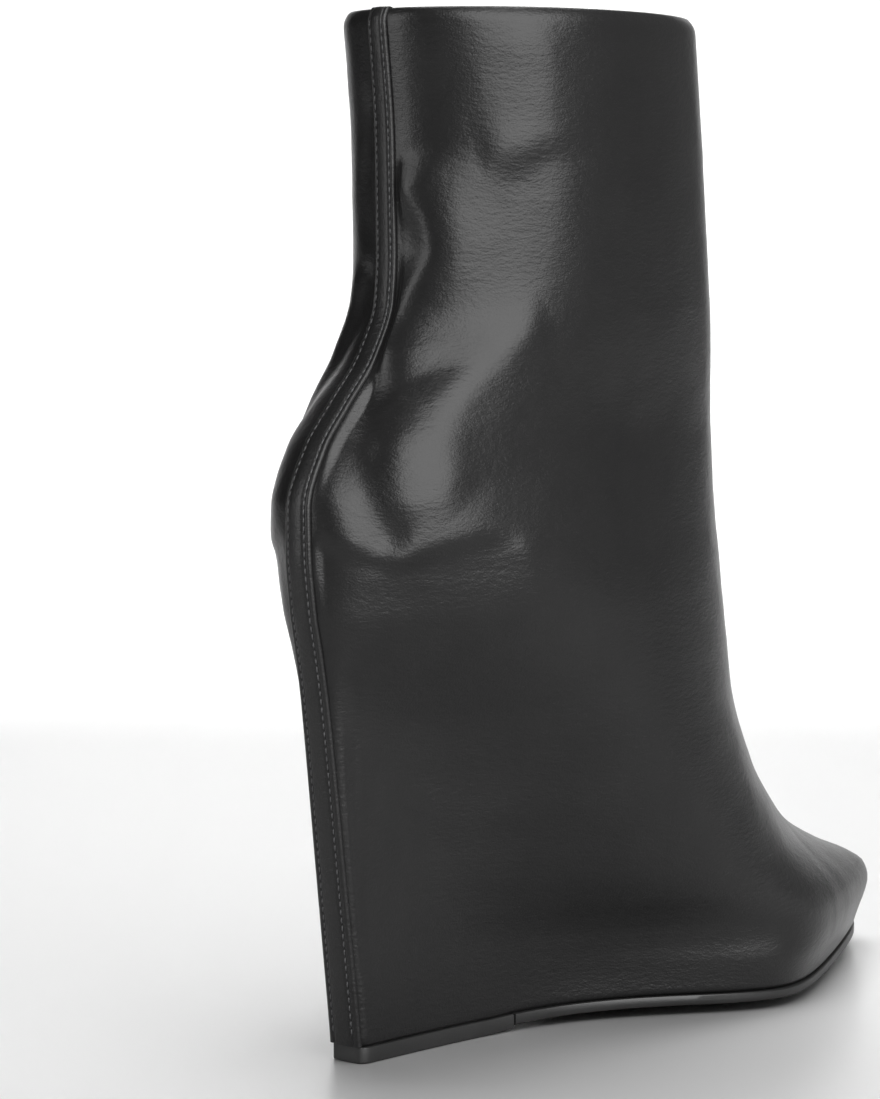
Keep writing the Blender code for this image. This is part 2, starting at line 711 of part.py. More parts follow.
def make_back_strip():
    """The strip up the back, folded over the collar."""
    first = height_of(OUTER_LEVELS[0])
    heights = [edge_height(0.0) + (first - edge_height(0.0)) * share for share in EDGE_ROWS]
    heights += [height_of(level) for level in OUTER_LEVELS]
    rows = [(height, 0.0, -GAP - STRIP_THICKNESS, -GAP) for height in heights]
    for angle in (25, 55, 90, 125, 155):
        swing, rise = math.cos(math.radians(angle)), math.sin(math.radians(angle)) ** 0.7
        face = WALL / 2 - (WALL / 2 + GAP + STRIP_THICKNESS) * swing
        back = WALL / 2 - (WALL / 2 + GAP) * swing
        rows.append((BOOT_HEIGHT, rise, face, back))
    for drop in (0.0, 0.3, 0.65, 1.0):
        rows.append((BOOT_HEIGHT - STRIP_INSIDE * drop, 0.0, WALL + GAP + STRIP_THICKNESS, WALL + GAP))
    rings = []
    for height, rise, face, back in rows:
        half = STRIP_WIDTH / 2 * read(STRIP, 1, level_of(height))
        edge = face + (back - face) * 0.45
        offsets = [(-half, edge), (-half + 0.0007, face), (-0.4 * half, face), (0.4 * half, face),
                   (half - 0.0007, face), (half, edge)]
        faces = [strip_point(height, offset, depth, rise * (GAP + STRIP_THICKNESS))
                 for offset, depth in offsets]
        backs = [strip_point(height, offset, back, rise * GAP) for offset, depth in reversed(offsets)]
        rings.append(faces + backs)
    return new_object("back_strip", loft(rings), LEATHER)


def strip_point(height, offset, depth, lift):
    point = inside(turn_for_length(height, offset), height, depth)
    if height == BOOT_HEIGHT:
        point.z = height + lift
    return point


def main():
    for old in list(bpy.data.objects):
        bpy.data.objects.remove(old)
    make_upper()
    make_inner_pieces()
    make_outsole()
    make_top_piece()
    make_back_strip()
    make_zip_tape()
    make_slider()
    make_pull()


# Steps and small clearances
FLAT_BACK_START = 0.0001
LEAST_ROUNDNESS = 2.3
LENGTH_SPOTS = 160
ZIP_STEPS = 30
SOLE_STEPS = 22
HINGE_LIFT = 0.0015          # the hinge's height over the slider's face
PULL_PLAY = 0.00035          # between the pull's arms and the bail
PLAIN = material("plain", (0.5, 0.5, 0.5), 0.6)
LEATHER = material("black_leather", (0.012, 0.012, 0.013), 0.38)
INSOLE_LEATHER = material("insole_leather", (0.03, 0.028, 0.027), 0.6)
CORE = material("wedge_core", (0.10, 0.10, 0.10), 0.7)
RUBBER = material("black_rubber", (0.015, 0.015, 0.015), 0.55)
TAPE = material("zip_tape_fabric", (0.010, 0.010, 0.010), 0.9)
METAL = material("dark_metal", (0.08, 0.08, 0.085), 0.3, 1.0)

main()
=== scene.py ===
# %% [markdown]
# # A black leather wedge ankle boot
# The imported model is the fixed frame: its solids say where everything is. This script dresses them. The
# leather is remade from the same sections as a fine mesh, so that folds and seams can be pushed into it.

# %% Load the frame
import json
import math

import bmesh
import bpy
import numpy as np
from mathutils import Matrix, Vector, noise

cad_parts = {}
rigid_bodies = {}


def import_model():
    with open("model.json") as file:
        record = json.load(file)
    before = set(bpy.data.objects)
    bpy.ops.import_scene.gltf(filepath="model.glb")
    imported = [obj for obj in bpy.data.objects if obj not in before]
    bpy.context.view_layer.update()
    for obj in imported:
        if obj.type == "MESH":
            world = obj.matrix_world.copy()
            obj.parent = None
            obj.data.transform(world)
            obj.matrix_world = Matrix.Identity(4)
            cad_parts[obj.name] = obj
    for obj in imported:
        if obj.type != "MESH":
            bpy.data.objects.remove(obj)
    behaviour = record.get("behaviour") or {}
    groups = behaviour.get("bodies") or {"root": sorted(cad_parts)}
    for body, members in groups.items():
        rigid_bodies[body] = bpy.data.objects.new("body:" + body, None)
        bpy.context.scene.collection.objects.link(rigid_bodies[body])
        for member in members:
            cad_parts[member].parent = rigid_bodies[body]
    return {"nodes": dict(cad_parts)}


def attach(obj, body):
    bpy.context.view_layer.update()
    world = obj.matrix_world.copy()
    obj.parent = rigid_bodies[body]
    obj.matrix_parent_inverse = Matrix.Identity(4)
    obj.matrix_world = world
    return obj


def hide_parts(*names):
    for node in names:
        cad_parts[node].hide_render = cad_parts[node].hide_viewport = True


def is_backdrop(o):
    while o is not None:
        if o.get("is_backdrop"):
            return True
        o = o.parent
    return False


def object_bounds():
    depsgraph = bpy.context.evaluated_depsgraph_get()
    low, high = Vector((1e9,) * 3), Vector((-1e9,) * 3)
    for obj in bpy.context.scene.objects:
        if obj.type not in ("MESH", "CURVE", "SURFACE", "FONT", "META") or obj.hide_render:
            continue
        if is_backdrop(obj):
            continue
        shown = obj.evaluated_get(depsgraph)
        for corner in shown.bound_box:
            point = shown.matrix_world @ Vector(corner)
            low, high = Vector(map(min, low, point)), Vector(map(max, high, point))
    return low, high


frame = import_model()
cad_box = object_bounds()
MM = 0.001

# %% [markdown]
# ## The last
# Boots are made over a last, and every part of the skin follows it. The sizes and tables below are those of
# the model's source: a row for each level, where 0 is the ground, 1 the heel seat and 2 the collar, and
# lengths as shares of the named sizes.

# %% Sizes of the boot
HEEL_HEIGHT = 0.1145
BOOT_HEIGHT = 0.267
TOE_REACH = 0.2235
HEEL_OVERHANG = 0.0167
SHAFT_DEPTH = 0.1078
SHAFT_WIDTH = 0.0768
BALL_WIDTH = 0.088
HEEL_WIDTH = 0.066
FIN_WIDTH = 0.0120
FIN_CORNER = 0.0028
TOE_SWING = 0.004
OUTER_WAIST = 0.0060
GROUND_BACK = 0.023
BACK_CROWDING = 1.25
OUTER, INNER = -1, 1

# %% The back and front lines
BACK_LINE = [(0.000, 0.00), (0.040, 0.02), (0.220, 0.16), (0.480, 0.37), (0.700, 0.55), (0.820, 0.66),
             (0.930, 0.79), (1.025, 0.92), (1.110, 0.99), (1.180, 0.98), (1.275, 0.61), (1.344, 0.08),
             (1.425, -0.57), (1.520, -0.97), (1.610, -1.03), (1.780, -1.00), (2.000, -0.80)]
FRONT_LINE = [(0.00, 0.915), (0.04, 0.930), (0.08, 0.950), (0.13, 0.980), (0.17, 1.000), (0.21, 0.975),
              (0.25, 0.885), (0.30, 0.725), (0.37, 0.550), (0.45, 0.432), (0.57, 0.300), (0.77, 0.183),
              (1.00, 0.148), (1.34, 0.100), (1.70, 0.045), (2.00, 0.000)]

# %% Breadths: level, ball, shaft, place, waist
BREADTHS = [(0.00, 0.920, 0.000, 0.600, 0.00), (0.07, 0.965, 0.000, 0.600, 0.00),
            (0.14, 1.010, 0.000, 0.600, 0.00), (0.28, 1.000, 0.000, 0.620, 0.00),
            (0.47, 0.970, 0.000, 0.640, 0.00), (0.70, 0.955, 0.000, 0.620, 0.00),
            (1.00, 0.930, 0.000, 0.580, 0.00), (1.10, 0.905, 0.000, 0.560, 0.10),
            (1.20, 0.600, 0.330, 0.550, 0.50), (1.31, 0.300, 0.670, 0.530, 1.00),
            (1.50, 0.000, 1.020, 0.510, 0.55), (1.75, 0.000, 1.010, 0.500, 0.15),
            (2.00, 0.000, 1.000, 0.500, 0.00)]

# %% Shapes: level, cup, lobe, flare, inner, ease, tip
SHAPES = [(0.000, 0.00, 1.00, 2.20, 2.70, 0.15, 0.18), (0.100, 0.00, 1.00, 2.15, 2.60, 0.16, 0.18),
          (0.200, 0.00, 1.00, 1.90, 2.20, 0.20, 0.20), (0.300, 0.00, 1.00, 1.65, 1.90, 0.35, 0.26),
          (0.450, 0.00, 1.00, 1.40, 1.55, 0.60, 0.40), (0.600, 0.02, 1.00, 1.30, 1.40, 1.00, 0.70),
          (0.690, 0.07, 1.00, 1.25, 1.32, 1.50, 0.90), (0.760, 0.14, 1.00, 1.20, 1.25, 2.00, 1.10),
          (0.825, 0.28, 1.00, 1.15, 1.20, 2.50, 1.30), (0.890, 0.46, 1.00, 1.12, 1.15, 3.00, 1.60),
          (0.960, 0.65, 1.00, 1.10, 1.10, 3.00, 1.90), (1.020, 0.80, 1.00, 1.05, 1.05, 3.00, 2.20),
          (1.070, 0.91, 1.00, 1.02, 1.02, 3.00, 2.60), (1.130, 1.00, 1.00, 1.00, 1.00, 3.00, 3.00),
          (1.300, 1.00, 0.94, 1.00, 1.00, 3.00, 4.00), (1.500, 1.00, 0.82, 1.00, 1.00, 3.00, 6.00),
          (2.000, 1.00, 0.92, 1.00, 1.00, 3.00, 8.00)]

# %% [markdown]
# A smooth curve runs through each column. It never overshoots its values, so no bump appears between rows.
# NumPy reads it for thousands of places at once.


# %% Read a table
def read(table, column, at):
    """The column's value at places in the table's first column."""
    places = np.array([row[0] for row in table])
    values = np.array([row[column] for row in table])
    steps = np.diff(places)
    slopes = np.diff(values) / steps
    before, after = slopes[:-1], slopes[1:]
    near, far = steps[:-1] + 2 * steps[1:], 2 * steps[:-1] + steps[1:]
    same = before * after > 0
    lean = np.concatenate(([slopes[0]], np.zeros(len(places) - 2), [slopes[-1]]))
    lean[1:-1][same] = (near + far)[same] / (near[same] / after[same] + far[same] / before[same])
    at = np.clip(at, places[0], places[-1])
    i = np.clip(np.searchsorted(places, at, side="right") - 1, 0, len(places) - 2)
    q = (at - places[i]) / steps[i]
    rise = q * q * (3 - 2 * q)
    bend = steps[i] * q * (1 - q) * ((1 - q) * lean[i] - q * lean[i + 1])
    return values[i] * (1 - rise) + values[i + 1] * rise + bend


# %% [markdown]
# ## The skin
# A level of the boot has a back, a front and a widest place. Low down its back is the wedge's narrow fin,
# higher up it is rounded like a heel. `skin` gives a point of the leather's face: turn is 0 at the back,
# 1 at the front and 2 at the back again.


# %% Sections
def level_of(height):
    return np.where(height <= HEEL_HEIGHT, height / HEEL_HEIGHT,
                    1 + (height - HEEL_HEIGHT) / (BOOT_HEIGHT - HEEL_HEIGHT))


def work_out_section(height):
    level = level_of(height)
    made = {"back": -HEEL_OVERHANG * read(BACK_LINE, 1, level)}
    collar_front = SHAFT_DEPTH - HEEL_OVERHANG * BACK_LINE[-1][1]
    made["front"] = collar_front + (TOE_REACH - collar_front) * read(FRONT_LINE, 1, level)
    made["half"] = (BALL_WIDTH * read(BREADTHS, 1, level) + SHAFT_WIDTH * read(BREADTHS, 2, level)) / 2
    made["widest"] = made["back"] + (made["front"] - made["back"]) * read(BREADTHS, 3, level)
    lobe = HEEL_WIDTH / 2 * read(SHAPES, 2, level)
    full = 1 - np.minimum(lobe / made["half"], 0.97) ** 2
    open_part = np.maximum(0.05, 1 - lobe / (made["widest"] - made["back"]))
    made["roundness"] = np.maximum(2.3, np.log(full) / np.log(open_part))
    made["waist"] = OUTER_WAIST * read(BREADTHS, 4, level)
    for column, name in enumerate(("cup", "lobe", "outer_flare", "inner_flare", "ease", "tip"), start=1):
        made[name] = read(SHAPES, column, level)
    return made


every_height = np.linspace(0, BOOT_HEIGHT, 5341)
every_section = work_out_section(every_height)


def section(height):
    """The section at a height, from a list worked out once for every 0.05 mm."""
    return {name: np.interp(height, every_height, values) for name, values in every_section.items()}


# %% Half widths
def half_width(level, x, side):
    """How far the skin stands out to one side at x, measured from the heel's rear edge."""
    back, front, widest, half = (level[name] for name in ("back", "front", "widest", "half"))
    x = np.clip(x, back, front)
    ahead = np.clip((x - widest) / (front - widest), 0, 1)
    ease, tip = level["ease"], level["tip"]
    left = np.maximum(0, 1 - (np.hypot(ahead, ease) - ease) / (np.hypot(1, ease) - ease))
    toe = half * np.sqrt((left * left + 2 * tip * left) / (1 + 2 * tip))

    behind = np.clip((widest - x) / (widest - back), 0, 1)
    cup = half * np.sqrt(np.maximum(0, 1 - behind ** level["roundness"]))
    corner = np.clip((x - back) / FIN_CORNER, 0, 1)
    fin = FIN_WIDTH / 2 - FIN_CORNER + FIN_CORNER * np.sqrt(np.maximum(0, 1 - (1 - corner) ** 2))
    fin = fin * np.minimum(1, np.sqrt(np.maximum(0, x - back) / 0.0001))
    flare = np.where(side == OUTER, level["outer_flare"], level["inner_flare"])
    fin = fin + (half - FIN_WIDTH / 2) * (1 - np.cos(math.pi * (1 - behind) ** flare)) / 2

    width = np.where(x >= widest, toe, level["cup"] * cup + (1 - level["cup"]) * fin)
    share = np.clip((x - back) / (front - back), 0, 1)
    return width - np.where(side == OUTER, level["waist"] * np.sin(math.pi * share ** 0.8) ** 2, 0)


# %% The skin's points and normals
def surface(x, side, height):
    bend = TOE_SWING * np.maximum(0, (x - TOE_REACH / 2) / (TOE_REACH / 2)) ** 1.6
    lean = bend * np.maximum(0, 1 - height / HEEL_HEIGHT)
    y = lean + side * half_width(section(height), x, side)
    return np.stack([x - GROUND_BACK + 0 * y, y, height + 0 * y], axis=-1)


def skin(turn, height):
    turn = np.mod(turn, 2)
    side = np.where(turn <= 1, INNER, OUTER)
    share = np.where(turn <= 1, turn, 2 - turn)
    level = section(height)
    run = ((1 - np.cos(math.pi * share)) / 2) ** BACK_CROWDING
    return surface(level["back"] + (level["front"] - level["back"]) * run, side, height)


def unit(vectors):
    return vectors / np.maximum(np.linalg.norm(vectors, axis=-1, keepdims=True), 1e-12)


def outward(turn, height):
    low, high = np.maximum(0.001, height - 0.0004), np.minimum(BOOT_HEIGHT, height + 0.0004)
    around = skin(turn + 0.004, height) - skin(turn - 0.004, height)
    up = skin(turn, high) - skin(turn, low)
    return unit(np.cross(up, around))


check = skin(np.array([0.0, 0.5, 1.0, 1.5]), np.full(4, 0.2))
print("skin 200 mm up, in mm:", np.round(check / MM, 1).tolist())

# %% [markdown]
# Seams, zip and folds are laid out with a tape measure, so places round the boot are lengths along the
# leather from the middle of the back: positive to the inner side, negative to the outer side.

# %% Lengths round the boot
SPOTS = np.linspace(0, 1, 641)
measured = {}


def lengths_round(height, side):
    """The distance from the back of each of many turns on one side, at a height."""
    key = (round(float(height), 7), side)
    if key not in measured:
        line = skin(side * SPOTS, np.full(len(SPOTS), height))
        steps = np.linalg.norm(np.diff(line, axis=0), axis=1)
        measured[key] = np.concatenate(([0.0], np.cumsum(steps)))
    return measured[key]


def turn_for(height, lengths):
    """The turns at signed lengths from the back, at one height."""
    lengths = np.asarray(lengths, float)
    inner = np.interp(lengths, lengths_round(height, INNER), SPOTS)
    outer = np.interp(-lengths, lengths_round(height, OUTER), SPOTS)
    return np.where(lengths >= 0, inner, -outer)


def under_skin(height, lengths, depth):
    """Points at one height and several lengths from the back, a depth under the leather's face."""
    turn = turn_for(height, lengths)
    level = np.full(len(turn), float(height))
    return skin(turn, level) - outward(turn, level) * np.reshape(depth, (-1, 1))


print("round the collar", round((lengths_round(BOOT_HEIGHT, INNER)[-1]
                                 + lengths_round(BOOT_HEIGHT, OUTER)[-1]) / MM, 1), "mm")

# %% [markdown]
# ## Sole lines and the zip's line
# The sole's lower edge and the middle of its underside come from a short table. The zip runs down the inner
# side on a straight line that leans forward.

# %% Sole lines and zip line
EDGE_RISE = 0.0038
SOLE_EDGE = 0.0028
SOLE_LIP = 0.0004
TOP_PIECE_LENGTH = 0.055
GAP = 0.0003
WALL = 0.0022
SOLE_LINES = [(0.00, 0.360, 0.000), (0.20, 0.360, 0.000), (0.26, 0.500, 0.240), (0.34, 0.620, 0.500),
              (0.43, 0.680, 0.400), (0.52, 0.650, 0.000), (0.60, 0.620, 0.000), (0.67, 0.650, 0.000),
              (0.75, 0.720, 0.180), (0.85, 0.850, 0.500), (1.00, 1.000, 0.850)]
ZIP_TOP_PLACE, ZIP_FOOT_PLACE = 0.062, 0.090
ZIP_BOTTOM, ZIP_HALF = 0.048, 0.0037
TAPE_RECESS, TAPE_THICKNESS = 0.0013, 0.0007


def sole_line(column, x):
    return EDGE_RISE * read(SOLE_LINES, column, x / TOE_REACH)


def edge_height(x):
    """Height of the leather's lower edge, just over the sole."""
    return sole_line(1, x) + SOLE_EDGE + GAP


def zip_length(height):
    """The zip's distance from the middle of the back, along the leather."""
    share = (BOOT_HEIGHT - height) / (BOOT_HEIGHT - ZIP_BOTTOM)
    x = ZIP_TOP_PLACE + (ZIP_FOOT_PLACE - ZIP_TOP_PLACE) * share
    level = section(np.array(height))
    run = ((x - level["back"]) / (level["front"] - level["back"])) ** (1 / BACK_CROWDING)
    return float(np.interp(math.acos(1 - 2 * run) / math.pi, SPOTS, lengths_round(height, INNER)))


# %% [markdown]
# ## Folds
# Leather that has been on a last and then stood empty settles into a few soft folds at the ankle and under
# the heel's round. Each is a line of (distance from the back, height) in mm, then the widths of the slopes
# on its left and right, and how far it rises (or sinks, negative). They are drawn one by one, and their ends
# fade out.

# %% The folds' lines
OUTER_FOLDS = [
    ([(3, 230), (6.5, 222), (11.5, 215), (13.8, 206), (10.5, 199), (7, 193), (5, 186), (7, 178), (11, 170)],
     11.0, 5.5, 2.3),
    ([(3.5, 180), (5, 171), (8.5, 163), (12, 156), (16, 149), (20, 142), (24, 135), (27, 128)],
     6.5, 7.5, -2.5),
    ([(44, 191), (36, 183), (30, 175), (29, 164), (35, 152), (44, 142)], 8.0, 8.0, 1.1),
    ([(2, 132), (6.7, 131), (14.6, 128.5), (22.6, 126.5), (29, 126), (41, 129.5), (51, 131.5), (62, 133)],
     3.4, 12.0, -1.5),
    ([(24, 228), (33, 230), (42, 233)], 9.0, 4.5, 0.8),
    ([(39, 266), (39.5, 252), (40, 240), (41, 228)], 10.0, 12.0, 1.0),
    ([(12, 104), (9.5, 70), (8, 40), (7, 20)], 1.6, 3.0, -0.35),
]
INNER_FOLDS = [
    ([(8, 204), (13, 190), (19, 174), (30, 158), (38, 146)], 4.5, 4.5, -1.0),
    ([(15, 202), (22, 186), (32, 168), (44, 152)], 6.0, 6.0, 0.9),
    ([(5, 134), (18, 129.5), (34, 128.5), (50, 131), (62, 134)], 3.0, 10.0, -0.8),
    ([(9, 248), (9, 232), (12, 218), (10, 206)], 3.5, 3.5, -0.5),
]
print(len(OUTER_FOLDS) + len(INNER_FOLDS), "folds")


# %% Where the back strip runs: level, width, lean
STRIP_WIDTH = 0.0090
STRIP = [(0.00, 1.180, 0.0), (0.50, 1.100, 0.0), (1.00, 1.000, 0.0), (1.45, 0.840, 1.6), (1.70, 0.780, 2.2),
         (2.00, 0.700, 1.8)]


def strip_half(height):
    return STRIP_WIDTH / 2 * read(STRIP, 1, level_of(height))


def strip_middle(height):
    """How far the strip's middle stands to the inner side of the back, as it does up the shaft."""
    return MM * read(STRIP, 2, level_of(height))


# %% Push and pull the leather
FOLD_END = 9


def smooth_path(points, steps=8):
    """A curve through the points, with steps to each stretch."""
    ends = np.array([points[0], *points, points[-1]], float)
    out = []
    for a, b, c, d in zip(ends, ends[1:], ends[2:], ends[3:]):
        for t in np.linspace(0, 1, steps, endpoint=False):
            out.append(0.5 * (2 * b + (c - a) * t + (2 * a - 5 * b + 4 * c - d) * t * t
                              + (3 * b - a - 3 * c + d) * t ** 3))
    return np.array([*out, ends[-1]])


def fold(length, height, points, left, right, rise):
    """How far one fold moves the leather; its slopes are as wide as left and right of the way it runs."""
    path = smooth_path(points) * MM
    nearest = np.full(length.shape, 1.0)
    along = np.zeros(length.shape)
    width = np.full(length.shape, left * MM)
    for k, (a, b) in enumerate(zip(path, path[1:])):
        run = b - a
        t = np.clip(((length - a[0]) * run[0] + (height - a[1]) * run[1]) / (run @ run), 0, 1)
        off_x, off_y = length - a[0] - t * run[0], height - a[1] - t * run[1]
        gap = np.hypot(off_x, off_y)
        closer = gap < nearest
        side = (run[0] * off_y - run[1] * off_x) / (math.hypot(*run) * np.maximum(gap, 1e-9))
        width = np.where(closer, (left + right + (left - right) * side) / 2 * MM, width)
        nearest = np.where(closer, gap, nearest)
        along = np.where(closer, (k + t) / (len(path) - 1), along)
    reach = np.linalg.norm(np.diff(path, axis=0), axis=1).sum()
    fade = np.clip(np.minimum(along, 1 - along) * reach / min(FOLD_END * MM, 0.45 * reach), 0, 1)
    return rise * MM * (fade * fade * (3 - 2 * fade)) * np.exp(-(nearest / width) ** 2)


# %% [markdown]
# Wide, very shallow waves keep the reflections from looking machined, and fine streaks run along the toe.
# The collar rolls in at its edge, and less so beside the zip, which is stiff. All of it is in mm: a wave has
# its length, its height, its seed and its share.

# %% The whole relief
WAVES = [(28, 34, 3.0, 1.0), (14, 11, 8.0, 0.5), (7, 4.5, 1.0, 0.22)]
WAVE_RISE = 0.22
STREAKS = (5.5, 45, 5.0)
STREAK_RISE = 0.16
ROLL_DEPTH, ROLL_REACH = 1.7, 4.2
LIP_RISE, LIP_PLACE, LIP_WIDTH = 0.3, 1.1, 0.9


def step(low, high, value):
    q = np.clip((value - low) / (high - low), 0, 1)
    return q * q * (3 - 2 * q)


def zip_mask(offset, height, half, soft=0.00025):
    """1 inside the zip's opening, with its round foot, and 0 outside."""
    below = np.maximum(0, ZIP_BOTTOM + half - height)
    return 1 - step(half - soft, half + soft, np.hypot(offset, below))


def ripples(length, height, long, high, seed):
    """Soft noise over the leather, in waves about so many mm long and high."""
    spots = zip(length.ravel(), height.ravel())
    values = [noise.noise(Vector((a / (long * MM), b / (high * MM), seed))) for a, b in spots]
    return np.reshape(values, length.shape)


# %% Folds, waves and streaks together
def folded(length, height, to_front):
    """How far folds and waves move both faces of the leather off the last, in metres."""
    moved = np.zeros(length.shape)
    for line in OUTER_FOLDS:
        moved += np.where(length < 0, fold(-length, height, *line), 0)
    for line in INNER_FOLDS:
        moved += np.where(length > 0, fold(length, height, *line), 0)
    from_strip = np.abs(length - strip_middle(height)) - strip_half(height)
    moved *= step(0.2 * MM, 3.0 * MM, from_strip)
    waves = sum(share * ripples(length, height, *wave) for *wave, share in WAVES)
    from_back = step(5 * MM, 16 * MM, np.abs(length))
    moved += WAVE_RISE * MM * waves * from_back * step(0.015, 0.04, height) * step(0, 16 * MM, to_front)
    at_toe = step(0.150, 0.185, np.abs(length)) * (1 - step(0.045, 0.070, height))
    return moved + STREAK_RISE * MM * ripples(length, height, *STREAKS) * at_toe * step(0, 10 * MM, to_front)


def collar_roll(height):
    """How deep the leather has rolled in at a height near the collar."""
    return ROLL_DEPTH * MM * np.clip(1 + (height - BOOT_HEIGHT) / (ROLL_REACH * MM), 0, 1) ** 2.4


def edges(height, offset):
    """The rolled collar, the raised lips of the zip and its sunk opening, on the outer face alone."""
    flat = 1 - 0.65 * zip_mask(offset, height, 9.5 * MM, 2.0 * MM)
    moved = -collar_roll(height) * flat * (1 - zip_mask(offset, height, ZIP_HALF, 0.6 * MM))
    lip = np.exp(-((np.abs(offset) - ZIP_HALF - LIP_PLACE * MM) / (LIP_WIDTH * MM)) ** 2)
    moved += LIP_RISE * MM * lip * step(ZIP_BOTTOM - 1 * MM, ZIP_BOTTOM + 3 * MM, height)
    return moved - (TAPE_RECESS + TAPE_THICKNESS + 0.2 * MM) * zip_mask(offset, height, ZIP_HALF)


# %% [markdown]
# ## Colours and finishes
# A node tree is easier to read as sums. `Wire` wraps a socket: adding or multiplying wires makes the Math
# nodes, and its one method `node` makes any other node.

# %% A class for shader sums
class Wire:
    def __init__(self, tree, socket=None):
        self.tree, self.socket = tree, socket

    def node(self, kind, settings=None, sockets=None, output=0):
        made = self.tree.nodes.new("ShaderNode" + kind)
        for name, value in (settings or {}).items():
            if name == "stops":
                while len(made.color_ramp.elements) < len(value):
                    made.color_ramp.elements.new(1.0)
                for element, (place, grey) in zip(made.color_ramp.elements, value):
                    element.position, element.color = place, (grey, grey, grey, 1)
            else:
                setattr(made, name, value)
        for name, value in (sockets or {}).items():
            if isinstance(value, Wire):
                self.tree.links.new(value.socket, made.inputs[name])
            else:
                made.inputs[name].default_value = value
        return Wire(self.tree, made.outputs[output])

    def math(self, operation, first, second):
        return self.node("Math", {"operation": operation}, {0: first, 1: second})

    def __add__(self, other):
        return self.math("ADD", self, other)

    __radd__ = __add__

    def __sub__(self, other):
        return self.math("SUBTRACT", self, other)

    def __rsub__(self, other):
        return self.math("SUBTRACT", other, self)

    def __mul__(self, other):
        return self.math("MULTIPLY", self, other)

    __rmul__ = __mul__

    def __pow__(self, other):
        return self.math("POWER", self, other)


# %% [markdown]
# Every finish starts the same way: a material, its shader, and the place in the boot's own metres, so a
# grain of half a millimetre is written as half a millimetre.

# %% Start and end a finish
def new_finish(name, **fixed):
    """A material with constants set on its shader. Gives the material, its shader and the place wire."""
    look = bpy.data.materials.new(name)
    look.use_nodes = True
    shader = look.node_tree.nodes["Principled BSDF"]
    for socket, value in fixed.items():
        shader.inputs[socket.replace("_", " ")].default_value = value
    place = Wire(look.node_tree).node("TexCoord", output=3)
    return look, shader, place


def feed(shader, socket, wire):
    wire.tree.links.new(wire.socket, shader.inputs[socket])


def stretched(place, x, y, z):
    """The place measured in steps of x, y and z metres."""
    return place.node("VectorMath", {"operation": "DIVIDE"}, {0: place, 1: (x, y, z)})


def cloudy(place, size, detail=2.0, roughness=0.5):
    """Soft noise from 0 to 1, with patches about size metres wide."""
    return place.node("TexNoise", None, {"Vector": place, "Scale": 1 / size, "Detail": detail,
                                         "Roughness": roughness})


def bumped(height, distance):
    """A relief whose full height is distance metres."""
    return height.node("Bump", None, {"Height": height, "Distance": distance, "Strength": 1.0})


def tinted(amount, dark, light):
    """A colour between two, as the amount goes from 0 to 1."""
    return amount.node("Mix", {"data_type": "RGBA"}, {0: amount, 6: (*dark, 1), 7: (*light, 1)}, output=2)


# %% [markdown]
# ### Polished calf
# Finished calf is a near black with a soft gloss. Its grain is a net of tiny cells, and where it has been
# pulled over the last, wrinkles of about a millimetre run across the pull. The gloss varies a little, which
# is what the eye takes for real leather.


# %% Black calf
def calf(name, gloss, grain=1.0):
    look, shader, place = new_finish(name, Specular_IOR_Level=0.30, Coat_Roughness=0.18)
    cells = place.node("TexVoronoi", {"feature": "SMOOTH_F1"}, {"Vector": place, "Scale": 1 / 0.00055,
                                                                "Smoothness": 0.35})
    wrinkles = cloudy(stretched(place, 1.9, 1.9, 0.8), 0.0013, 3.0, 0.6)
    fine = cloudy(place, 0.00028, 1.0)
    height = cells * 0.22 + wrinkles * 1.0 + fine * 0.10
    patches = cloudy(place, 0.021, 3.0)
    smears = cloudy(stretched(place, 1.0, 1.0, 2.4), 0.006, 3.0)
    feed(shader, "Roughness", gloss - 0.05 + patches * 0.08 + smears * 0.05)
    mottled = patches * 0.6 + fine * 0.4
    feed(shader, "Base Color", tinted(mottled, (0.0050, 0.0050, 0.0052), (0.0100, 0.0098, 0.0098)))
    feed(shader, "Coat Weight", smears * 0.10 + 0.02)
    feed(shader, "Normal", bumped(height, 0.00015 * grain))
    return look


leather = calf("black_calf", 0.32)
strip_leather = calf("black_calf_strip", 0.36, 1.2)
print("finishes", leather.name, strip_leather.name)


# %% [markdown]
# ### Lining, sole, thread, tape and metal
# The lining is matter than the calf. The sole is smooth black rubber, thread is a soft twist, the zip's
# tape has close diagonal ribs, and the slider is dark plated metal, rubbed brighter in random patches.


# %% Lining and insole
def lining(name, gloss):
    look, shader, place = new_finish(name, Specular_IOR_Level=0.4)
    grain = cloudy(place, 0.0007, 3.0, 0.6)
    patches = cloudy(place, 0.015)
    feed(shader, "Base Color", tinted(patches, (0.012, 0.012, 0.012), (0.022, 0.021, 0.020)))
    feed(shader, "Roughness", gloss + patches * 0.12)
    feed(shader, "Normal", bumped(grain, 0.00006))
    return look


lining_leather = lining("lining_leather", 0.55)
insole_leather = lining("insole_leather", 0.50)


# %% Sole, wedge core and thread
def moulded(name, dark, light, gloss, size=0.0006, depth=0.00003):
    look, shader, place = new_finish(name, Specular_IOR_Level=0.5)
    grain = cloudy(place, size, 2.0)
    patches = cloudy(place, 0.012, 3.0)
    feed(shader, "Base Color", tinted(patches, dark, light))
    feed(shader, "Roughness", gloss + patches * 0.15)
    feed(shader, "Normal", bumped(grain, depth))
    return look


